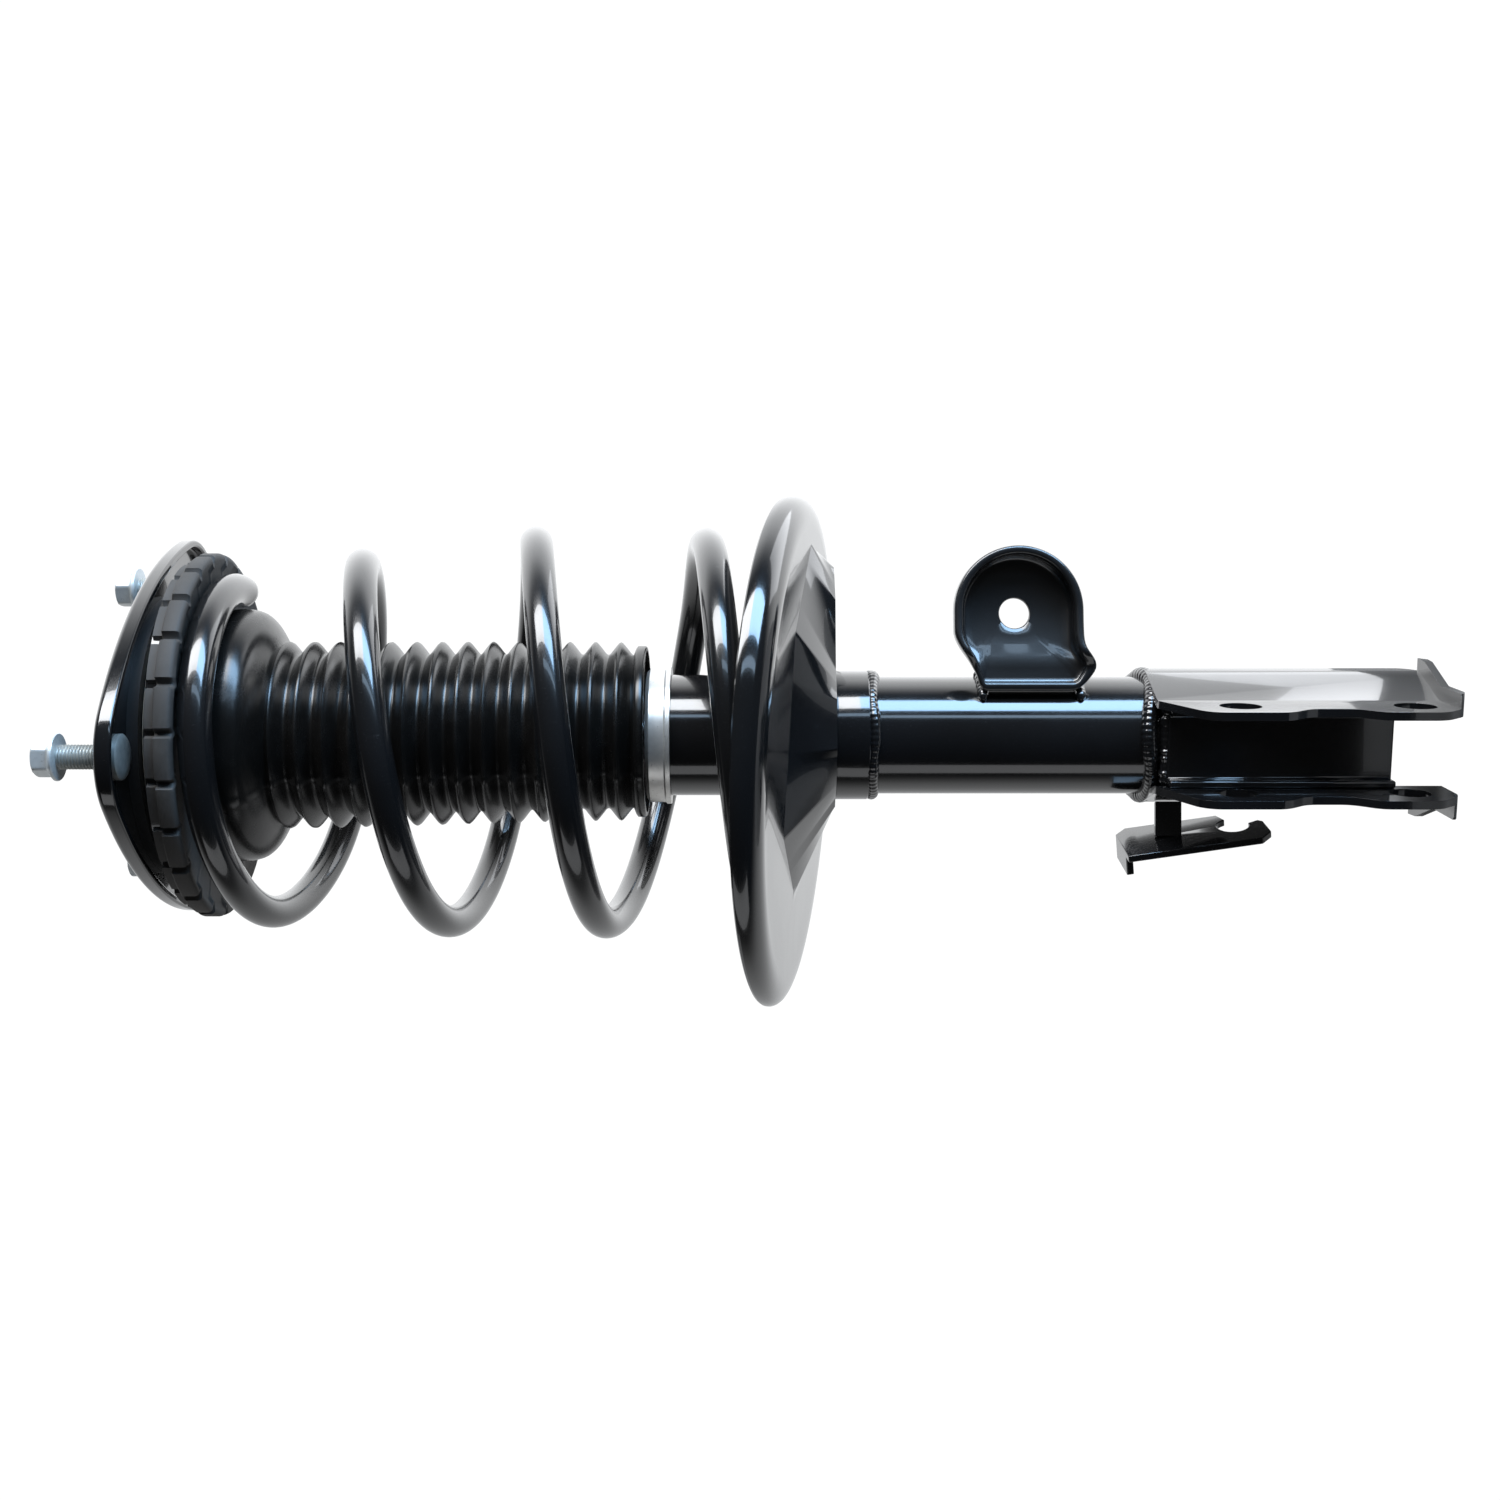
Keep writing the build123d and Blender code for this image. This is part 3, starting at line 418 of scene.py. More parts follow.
@dataclass(frozen=True)
class Finishes:
    """Every finish on the strut, built once."""

    pressed: bpy.types.Material = made(GlossPaint("pressed_paint"))
    tube: bpy.types.Material = made(
        GlossPaint(
            "tube_paint", waves=Grain(30.0, 2.0, 0.4), wave_depth=0.0001, wave_stretch=(1.0, 1.0, 0.25)
        )
    )
    spring: bpy.types.Material = made(
        GlossPaint(
            "spring_paint", gloss=0.16, waves=Grain(60.0, 2.0, 0.4), wave_depth=0.00005,
            peel_depth=0.00001,
        )
    )
    cup: bpy.types.Material = made(GlossPaint("cup_paint", gloss=0.26, peel_depth=0.00001))
    weld: bpy.types.Material = made(
        GlossPaint("weld_paint", gloss=0.14, waves=Grain(160.0, 2.0, 0.4), wave_depth=0.0004)
    )
    boot: bpy.types.Material = made(Rubber("boot_rubber_look", 0.005, 0.010, 0.19, 0.000008, 0.00003))
    insulator: bpy.types.Material = made(Rubber("insulator_rubber_look", 0.031, 0.066, 0.62, 0.00006))
    mount_rubber: bpy.types.Material = made(Rubber("mount_rubber_look", 0.010, 0.035, 0.55))
    zinc: bpy.types.Material = made(
        Metal("zinc_look", (0.50, 0.52, 0.50), (0.32, 0.34, 0.33), 0.34, 0.7)
    )
    nut: bpy.types.Material = made(
        Metal("nut_look", (0.80, 0.84, 0.85), (0.62, 0.67, 0.69), 0.26, 0.55)
    )
    cap: bpy.types.Material = made(
        Metal("cap_look", (0.92, 0.91, 0.88), (0.76, 0.75, 0.72), 0.20, 0.7, 0.00003)
    )
    chrome: bpy.types.Material = made(
        Metal("chrome_look", (0.72, 0.73, 0.75), (0.60, 0.61, 0.63), 0.05)
    )
    steel: bpy.types.Material = made(
        Metal("steel_look", (0.50, 0.50, 0.50), (0.36, 0.36, 0.36), 0.28)
    )
    sinter: bpy.types.Material = made(
        Metal("sinter_look", (0.20, 0.20, 0.20), (0.12, 0.12, 0.12), 0.50)
    )
    race: bpy.types.Material = made(Plastic("race_look", (0.022, 0.022, 0.023), 0.42))
    cage: bpy.types.Material = made(Plastic("cage_look", (0.68, 0.66, 0.58), 0.45))
    foam: bpy.types.Material = made(
        Plastic("foam_look", (0.60, 0.46, 0.20), 0.65, Grain(500.0, 3.0, 0.6), 0.0002)
    )

    def dress_cad(self) -> None:
        """Gives every CAD node the finish of its piece."""
        by_node = {
            self.pressed: (
                "mount_plate", "upper_spring_seat", "lower_spring_seat", "stabiliser_bracket",
                "knuckle_bracket", "knuckle_web", "hose_bracket", "tube_end_cap",
            ),
            self.tube: ("strut_tube",),
            self.spring: ("coil_spring",),
            self.boot: ("dust_boot",),
            self.insulator: ("upper_insulator", "lower_spring_pad", "rod_seal"),
            self.mount_rubber: ("mount_rubber",),
            self.zinc: ("mount_studs", "mount_core", "rod_washer"),
            self.nut: ("stud_nuts", "rod_nut", "piston_nut"),
            self.cap: ("tube_cap",),
            self.chrome: ("piston_rod",),
            self.steel: ("bearing_balls", "inner_cylinder"),
            self.sinter: ("piston", "rod_guide", "base_valve"),
            self.race: ("upper_bearing_race", "lower_bearing_race"),
            self.cage: ("bearing_cage", "piston_band", "rebound_stop"),
            self.foam: ("bump_stop",),
        }
        for material, names in by_node.items():
            for name in names:
                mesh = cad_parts[name].data
                mesh.materials.clear()
                mesh.materials.append(material)


# ---- Surfaces ------------------------------------------------------------------------------------


class Ends(Enum):
    """How the two open ends of a grid's first direction are finished."""

    LOOP = "loop"
    CAPPED = "capped"


def turn(count: int, first: float = 0.0) -> Array:
    """Angles in radians, evenly round one full turn from first, which isn't repeated."""
    return first + np.arange(count) * (2 * np.pi / count)


def smooth_step(value: Array, low: float, high: float) -> Array:
    """3t^2 - 2t^3 of t, which goes from 0 at low to 1 at high."""
    t = np.clip((value - low) / (high - low), 0.0, 1.0)
    return t * t * (3.0 - 2.0 * t)


def hump(value: Array, middle: float, width: float) -> Array:
    """A bell of height 1 at middle: exp(-((value - middle) / width)^2)."""
    return np.exp(-(((value - middle) / width) ** 2))


def soften(values: Array, reach: int) -> Array:
    """The rows of values averaged with a bell of that reach, with the two ends held."""
    kernel = np.exp(-np.linspace(-2.0, 2.0, 2 * reach + 1) ** 2)
    kernel /= kernel.sum()
    before = 2 * values[:1] - values[reach:0:-1]
    after = 2 * values[-1:] - values[-2 : -reach - 2 : -1]
    padded = np.concatenate([before, values, after])
    return np.stack([np.convolve(column, kernel, "valid") for column in padded.T], axis=1)


def polygon_reach(corners: Sequence[tuple[float, float]], angles: Array) -> Array:
    """How far a polygon round the origin reaches at each angle.

    The reach along an edge from a to b is cross(a, b - a) / cross(direction, b - a).

    Args:
        corners: the polygon's corners, in order round the origin.
        angles: the directions, in radians.

    Returns:
        One distance per angle.
    """
    a = np.array(corners, float)
    edge = np.roll(a, -1, axis=0) - a
    ray_x, ray_y = np.cos(angles)[:, None], np.sin(angles)[:, None]
    top = a[:, 0] * edge[:, 1] - a[:, 1] * edge[:, 0]
    with np.errstate(divide="ignore", invalid="ignore"):
        reach = top / (ray_x * edge[:, 1] - ray_y * edge[:, 0])
        along = (ray_x * reach - a[:, 0]) * edge[:, 0] + (ray_y * reach - a[:, 1]) * edge[:, 1]
        share = along / (edge**2).sum(axis=1)
    on_edge = (reach > 0) & (share > -1e-6) & (share < 1 + 1e-6)
    return np.where(on_edge, reach, np.inf).min(axis=1)


def grid_faces(rows: int, columns: int, ends: Ends, start: int) -> list[tuple[int, ...]]:
    """The quads of a grid whose columns close on themselves, numbered from start."""
    last_row = rows if ends is Ends.LOOP else rows - 1
    i, j = np.meshgrid(np.arange(last_row), np.arange(columns), indexing="ij")
    k, m = (i + 1) % rows, (j + 1) % columns
    corners = [i * columns + j, i * columns + m, k * columns + m, k * columns + j]
    faces = [tuple(q) for q in (np.stack(corners, axis=-1).reshape(-1, 4) + start).tolist()]
    if ends is Ends.CAPPED:
        first = tuple(start + j for j in reversed(range(columns)))
        last = tuple(start + (rows - 1) * columns + j for j in range(columns))
        faces += [first, last]
    return faces


@dataclass
class Shell:
    """Grids of points in millimetres that become one mesh."""

    name: str
    points: list[Array] = field(default_factory=list)
    faces: list[tuple[int, ...]] = field(default_factory=list)
    count: int = 0

    def add(self, grid: Array, ends: Ends) -> "Shell":
        """Adds a grid of shape (rows, columns, 3) whose columns close on themselves."""
        rows, columns = grid.shape[:2]
        self.faces += grid_faces(rows, columns, ends, self.count)
        self.points.append(grid.reshape(-1, 3))
        self.count += rows * columns
        return self

    def build(self, material: bpy.types.Material, sharp: float) -> bpy.types.Object:
        """Puts the grids into one object at the origin, with its faces pointing outwards.

        Args:
            material: the piece's finish.
            sharp: edges that turn by more degrees than this stay crisp.

        Returns:
            The new object.
        """
        mesh = bpy.data.meshes.new(self.name)
        mesh.from_pydata((np.concatenate(self.points) * MM).tolist(), [], self.faces)
        mesh.materials.append(material)
        return finish_mesh(self.name, mesh, sharp)


def finish_mesh(name: str, mesh: bpy.types.Mesh, sharp: float) -> bpy.types.Object:
    """Links a mesh as an object, turns its faces outwards and shades it smooth.

    Args:
        name: the piece's name.
        mesh: its mesh, with its place in it.
        sharp: edges that turn by more degrees than this stay crisp.

    Returns:
        The new object.
    """
    work = bmesh.new()
    work.from_mesh(mesh)
    bmesh.ops.recalc_face_normals(work, faces=work.faces)
    work.to_mesh(mesh)
    work.free()
    mesh.shade_smooth()
    mesh.set_sharp_from_angle(angle=np.radians(sharp))
    obj = bpy.data.objects.new(name, mesh)
    bpy.context.scene.collection.objects.link(obj)
    LOG.info("%s: %d faces", name, len(mesh.polygons))
    return obj


def ring_at(radius: float | Array, height: float | Array, angles: Array,
            centre: tuple[float, float] = (0.0, 0.0)) -> Array:
    """Points round a vertical axis: (x + r cos a, y + r sin a, z).

    Args:
        radius: one radius for all, or one per angle.
        height: one height for all, or one per angle.
        angles: directions from the axis.
        centre: the axis's x and y.

    Returns:
        A row of points, one per angle.
    """
    x, y = centre[0] + radius * np.cos(angles), centre[1] + radius * np.sin(angles)
    return np.stack([x, y, np.broadcast_to(height, angles.shape)], axis=1)


def revolved(profile: Sequence[tuple[float, float]] | Array, count: int,
             centre: tuple[float, float] = (0.0, 0.0)) -> Array:
    """A profile of (radius, height) rows carried round a vertical axis in count steps."""
    angles = turn(count)
    return np.stack([ring_at(radius, height, angles, centre) for radius, height in profile])


def tube_along(path: Array, radius: Array, count: int, closed: bool = False) -> Array:
    """A round tube about a path in rings of count points.

    Each ring lies across the path's direction d, in the frame of d x Z and its normal to d.

    Args:
        path: the centre line, in rows.
        radius: one radius per row.
        count: points round a ring.
        closed: whether the path runs on from its last row to its first.

    Returns:
        A grid of shape (rows, count, 3).
    """
    if closed:
        along = np.roll(path, -1, axis=0) - np.roll(path, 1, axis=0)
    else:
        along = np.gradient(path, axis=0)
    along /= np.linalg.norm(along, axis=1, keepdims=True)
    side = np.cross(along, [0.0, 0.0, 1.0])
    side /= np.linalg.norm(side, axis=1, keepdims=True)
    up = np.cross(side, along)
    angles = turn(count)
    ring = side[:, None] * np.cos(angles)[:, None] + up[:, None] * np.sin(angles)[:, None]
    return path[:, None] + ring * radius[:, None, None]


def rides(obj: bpy.types.Object, body: Body, slot: Slot, *nodes: str) -> None:
    """Makes a piece move with a body and stand for CAD nodes."""
    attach(obj, body.value)
    if nodes:
        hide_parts(*nodes)


def stretches(obj: bpy.types.Object, node: str) -> None:
    """Bakes a piece's place into its mesh and hides the CAD node that it stands for.

    Args:
        obj: the piece.
        node: the CAD node it stands for.
    """
    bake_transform(obj)
    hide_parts(node)


# ---- Coil spring and dust boot -------------------------------------------------------------------


@dataclass
class CoilSpring:
    """The side-loaded coil spring: a dead coil on the lower seat and a smaller one at the top."""

    wire: float = 6.7
    ring: int = 32
    steps: int = 720
    # the wire's ends are rounded by rings of these shares of its radius, this far apart
    end_shares: tuple[float, ...] = (0.72, 0.88, 0.97, 1.0)
    end_step: float = 0.4
    # turn angles between which the coils are free: below and above, they lie on their seats
    free: tuple[float, float] = (150.0, 1350.0)
    # turn angle in degrees from +X, height of the wire's middle, coil radius, the axis's X
    stations: tuple[tuple[float, float, float, float], ...] = (
        (24.0, -263.8, 79.2, 0.5),
        (60.0, -269.0, 79.4, 0.5),
        (90.0, -270.4, 79.6, 0.5),
        (135.0, -264.0, 79.7, 0.5),
        (180.0, -252.8, 79.7, 0.5),
        (270.0, -239.2, 79.7, 0.5),
        (315.0, -233.2, 79.7, 0.5),
        (360.0, -227.6, 79.7, 0.5),
        (405.0, -222.5, 79.7, 0.5),
        (450.0, -211.5, 79.7, 0.6),
        (488.0, -201.0, 79.7, 0.8),
        (540.0, -187.5, 79.7, 1.0),
        (630.0, -172.0, 79.7, 1.2),
        (720.0, -156.3, 79.5, 1.3),
        (765.0, -149.2, 79.0, 1.0),
        (810.0, -140.3, 78.7, 0.5),
        (848.0, -133.4, 78.3, 0.0),
        (900.0, -122.1, 77.8, -0.5),
        (990.0, -102.7, 75.6, -1.4),
        (1080.0, -83.8, 73.3, -2.0),
        (1120.0, -77.5, 73.3, -2.1),
        (1170.0, -68.6, 73.2, -2.2),
        (1208.0, -61.2, 73.0, -2.2),
        (1260.0, -47.2, 72.4, -2.2),
        (1320.0, -35.2, 69.0, -1.4),
        (1355.0, -31.6, 66.3, -0.6),
        (1410.0, -31.4, 62.0, 0.0),
        (1450.0, -31.4, 60.6, 0.0),
    )

    def path(self) -> tuple[Array, Array]:
        """The wire's middle line and its turn angles in degrees, from the bottom up."""
        table = np.array(self.stations)
        angle = np.linspace(table[0, 0], table[-1, 0], self.steps)
        columns = np.stack([np.interp(angle, table[:, 0], table[:, k]) for k in (1, 2, 3)], axis=1)
        height, radius, offset = soften(columns, self.steps // 60).T
        a = np.radians(angle)
        return np.stack([offset + radius * np.cos(a), radius * np.sin(a), height], axis=1), angle

    def round_end(self, path: Array, radius: Array) -> None:
        """Sets the first rings of a path close together and narrows them, in place."""
        shares = np.array(self.end_shares)
        last = len(shares) - 1
        outwards = path[last - 1] - path[last]
        outwards /= np.linalg.norm(outwards)
        steps = np.arange(last, 0, -1)[:, None] * self.end_step
        path[:last] = path[last] + outwards * steps
        radius[: last + 1] = shares * self.wire

    def build(self, finishes: Finishes) -> None:
        """Makes the spring in place of its CAD node."""
        path, angle = self.path()
        radius = np.full(self.steps, self.wire)
        self.round_end(path, radius)
        self.round_end(path[::-1], radius[::-1])
        grid = tube_along(path, radius, self.ring)
        obj = Shell("spring_coil").add(grid, Ends.CAPPED).build(finishes.spring, 50.0)
        stretches(obj, "coil_spring")


@dataclass
class DustBoot:
    """The rubber boot: a smooth cone under the upper seat, then fourteen convolutions."""

    crests: int = 14
    first: float = -53.0
    last: float = -192.4
    crest_r: tuple[float, float] = (39.4, 37.6)
    drop: float = 6.2
    fold_round: float = 0.12
    valley_lift: float = 0.10
    # points down the cone and along each convolution
    cone_points: int = 24
    fold_points: int = 14
    wall: float = 1.4
    around: int = 144
    lip_r: float = 36.0
    lip_height: float = 4.0
    end: float = -203.3
    neck: tuple[tuple[float, float], ...] = (
        (52.3, -27.0), (53.0, -33.0), (52.8, -38.5), (51.6, -42.5), (48.6, -45.8), (43.5, -48.6),
        (39.0, -50.6),
    )
    # how far the lower end hangs to +X, and the depths between which that builds up
    sag: float = 1.5
    sag_from: tuple[float, float] = (50.0, 190.0)
    # the two mould lines' angles in degrees, their height and their width in degrees
    mould_lines: tuple[float, float] = (-122.6, 57.4)
    line_height: float = 0.55
    line_width: float = 1.9
    # the share of the damper's travel that the cone's lower end takes
    cone_share: float = 0.10

    def profile(self) -> Array:
        """The outer line, from the neck down, as (radius, height) rows.

        A convolution's radius falls from its crest by drop times a rounded V: the square root of
        (u^2 + e^2), where u goes from 0 at the crest to 1 at the valley and e is fold_round. A
        narrow bell lifts the bottom of the valley.
        """
        knots = np.array(self.neck)
        cone_z = np.linspace(knots[0, 1], knots[-1, 1], self.cone_points)
        cone = np.stack([np.interp(-cone_z, -knots[:, 1], knots[:, 0]), cone_z], axis=1)
        step = (self.first - self.last) / (self.crests - 1)
        count = self.crests * self.fold_points + 1
        z = np.linspace(self.first + 0.15 * step, self.last - step / 2, count)
        share = np.clip((self.first - z) / (self.first - self.last), 0.0, 1.0)
        turns = (self.first - z) / step
        u, e = np.abs(turns - np.round(turns)) * 2.0, self.fold_round
        fall = (np.sqrt(u**2 + e**2) - e) / (np.sqrt(1 + e**2) - e)
        fall -= self.valley_lift * hump(u, 1.0, e)
        crest = self.crest_r[0] + (self.crest_r[1] - self.crest_r[0]) * share
        bellows = np.stack([crest - self.drop * fall, z], axis=1)
        r, low, high = self.lip_r, self.end, self.end + self.lip_height
        lip = np.array([(r - 1.0, high + 0.4), (r, high - 0.4), (r, low + 0.6), (r - 0.6, low)])
        return np.concatenate([soften(cone, 3), bellows, lip])

    def ridge(self, angles: Array) -> Array:
        """How far the mould lines stand out at each angle: a bell about each of them."""
        height = np.zeros(len(angles))
        for middle in np.radians(self.mould_lines):
            away = np.degrees(np.abs((angles - middle + np.pi) % (2 * np.pi) - np.pi))
            height += self.line_height * hump(away, 0.0, self.line_width)
        return height

    def build(self, finishes: Finishes) -> None:
        """Makes the boot with its mould lines in place of its CAD node."""
        outer = self.profile()
        inner = outer[::-1] - [self.wall, 0.0]
        grid = revolved(np.concatenate([outer, inner]), self.around)
        angles = turn(self.around)
        grid[: len(outer)] += ring_at(self.ridge(angles), 0.0, angles)
        grid[..., 0] += self.sag * smooth_step(-grid[..., 2], *self.sag_from)
        obj = Shell("boot_bellows").add(grid, Ends.LOOP).build(finishes.boot, 60.0)
        stretches(obj, "dust_boot")


# ---- Top mount -----------------------------------------------------------------------------------


@dataclass
class TopMount:
    """The studs, their flange nuts and the castellated rubber ring under the plate."""

    circle: float = 69.0
    first: float = -97.5
    thread_r: float = 4.9
    thread_depth: float = 0.62
    thread_start: float = 1.0
    pitch: float = 1.25
    top: float = 28.5
    # points round a stud and round a nut, and rows along one pitch of thread
    around: tuple[int, int] = (40, 96)
    pitch_rows: int = 8
    tip_r: tuple[float, float] = (4.5, 0.3)
    # the pressed-in head, from the middle of its dome out and up to the plate
    head: tuple[tuple[float, float], ...] = (
        (0.4, -6.2), (5.0, -6.1), (8.2, -5.7), (9.0, -5.0), (9.0, -3.4), (8.9, -3.0), (5.4, -3.0),
        (5.4, 0.2), (4.9, 0.8),
    )
    nut: tuple[float, float] = (19.2, 28.0)
    nut_bore: float = 4.62
    flats: float = 7.0
    flange: float = 9.3
    # each nut's turn in degrees: the first one's, and what the next ones add
    twist: tuple[float, float] = (8.0, 17.0)
    blocks: int = 24
    ring_r: tuple[float, float] = (53.2, 73.4)
    ring_z: tuple[float, float] = (-26.0, -14.0)
    block_height: float = 2.6

    def places(self) -> Array:
        """The three studs' axes."""
        a = np.radians(self.first + 120.0 * np.arange(3))
        return self.circle * np.stack([np.cos(a), np.sin(a)], axis=1)

    def studs(self, finishes: Finishes) -> None:
        """Threaded studs with low domed heads pressed in from below.

        The thread's radius is R - d * |2 frac(z / p - a / 2 pi) - 1|, a ridge that climbs by one
        pitch p a turn, and its depth d fades out at both ends.
        """
        shell = Shell("threaded_studs")
        angles = turn(self.around[0])
        start, top = self.thread_start, self.top
        z = np.arange(start, top - 0.7, self.pitch / self.pitch_rows)
        phase = (z[:, None] / self.pitch - angles / (2 * np.pi)) % 1.0
        fade = smooth_step(z, start, start + 2.0) * (1.0 - smooth_step(z, top - 2.0, top - 0.8))
        thread = self.thread_r - self.thread_depth * fade[:, None] * np.abs(2 * phase - 1)
        tip = [(radius, top) for radius in np.linspace(*self.tip_r, 4)]
        tip[0] = (self.tip_r[0], top - 0.5)
        for place in self.places():
            head = revolved(self.head, len(angles), place)
            shaft = [ring_at(radius, height, angles, place) for radius, height in zip(thread, z)]
            end = revolved(tip, len(angles), place)
            shell.add(np.concatenate([head, np.stack(shaft), end]), Ends.CAPPED)
        rides(shell.build(finishes.zinc, 35.0), Body.MOUNT, Slot.ZINC, "mount_studs")

    def nuts(self, finishes: Finishes) -> None:
        """Hexagon nuts with a flange: the radius at angle a is flats / cos(a within a sixth turn)."""
        shell = Shell("flange_nuts")
        angles = turn(self.around[1])
        low, high = self.nut
        sixth = np.pi / 3
        corner = self.flats / np.cos(sixth / 2)
        for number, place in enumerate(self.places()):
            twist = np.radians(self.twist[0] + self.twist[1] * number)
            within = (angles + twist) % sixth - sixth / 2
            hexagon = np.minimum(self.flats / np.cos(within), corner * 0.975)
            rows = (
                (self.nut_bore, low),
                (self.flange - 0.3, low),
                (self.flange, low + 0.4),
                (self.flange, low + 1.1),
                (self.flange - 0.4, low + 1.5),
                (hexagon + 0.35, low + 2.3),
                (hexagon, low + 2.7),
                (hexagon, high - 1.0),
                (np.minimum(hexagon, corner * 0.95), high - 0.55),
                (np.minimum(hexagon, corner * 0.90), high - 0.2),
                (np.minimum(hexagon, corner * 0.84), high),
                (self.nut_bore + 0.7, high),
                (self.nut_bore, high - 0.6),
            )
            grid = np.stack([ring_at(radius, height, angles, place) for radius, height in rows])
            shell.add(grid, Ends.LOOP)
        rides(shell.build(finishes.nut, 28.0), Body.MOUNT, Slot.NUT, "stud_nuts")

    def insulator(self, finishes: Finishes) -> None:
        """The rubber ring: its outer wall is cut into blocks with rounded edges.

        Each row stands at a share of the way from the inner to the outer wall, less an inset. The
        outer wall swells from a block's sides to its middle, and blocks differ a little in height.
        """
        angles = turn(self.blocks * 20)
        within = np.abs(((angles * self.blocks / (2 * np.pi)) % 1.0) - 0.5) * 2.0
        block = 1.0 - smooth_step(within, 0.80, 0.95)
        uneven = 0.35 * (0.6 * np.sin(3 * angles) + 0.4 * np.sin(5 * angles + 1.0)) * block
        inner, root = self.ring_r
        outer = root + self.block_height * block + 0.2 * (1 - within**2)
        low, high = self.ring_z
        shelf, groove = -18.3, -18.9
        rows = (
            (0.0, 0.0, high), (0.6, 3.4, high), (0.9, 1.0, high - 0.6), (0.9, 1.0, shelf),
            (1.0, 0.5, groove), (1.0, 0.0, groove - 0.7), (1.0, 0.0, -22.5), (1.0, 0.0, low + 1.6),
            (1.0, 0.35, low + 0.8), (1.0, 1.1, low + 0.2), (0.88, 0.0, low), (0.74, 0.0, low + 1.9),
            (0.1, 0.0, low + 1.9), (0.0, 0.0, low + 3.4), (0.0, 0.0, high - 1.0),
        )
        grid = [
            ring_at(
                inner + (outer - inner) * share - inset,
                height + (uneven if height <= -18.0 and share > 0.9 else 0.0),
                angles,
            )
            for share, inset, height in rows
        ]
        obj = Shell("seat_insulator").add(np.stack(grid), Ends.LOOP).build(finishes.insulator, 45.0)
        rides(obj, Body.SEAT, Slot.INSULATOR, "upper_insulator")

    def build(self, finishes: Finishes) -> None:
        """Makes the studs, the nuts and the ring."""
        self.studs(finishes)
        self.nuts(finishes)
        self.insulator(finishes)


# ---- Lower spring seat ---------------------------------------------------------------------------


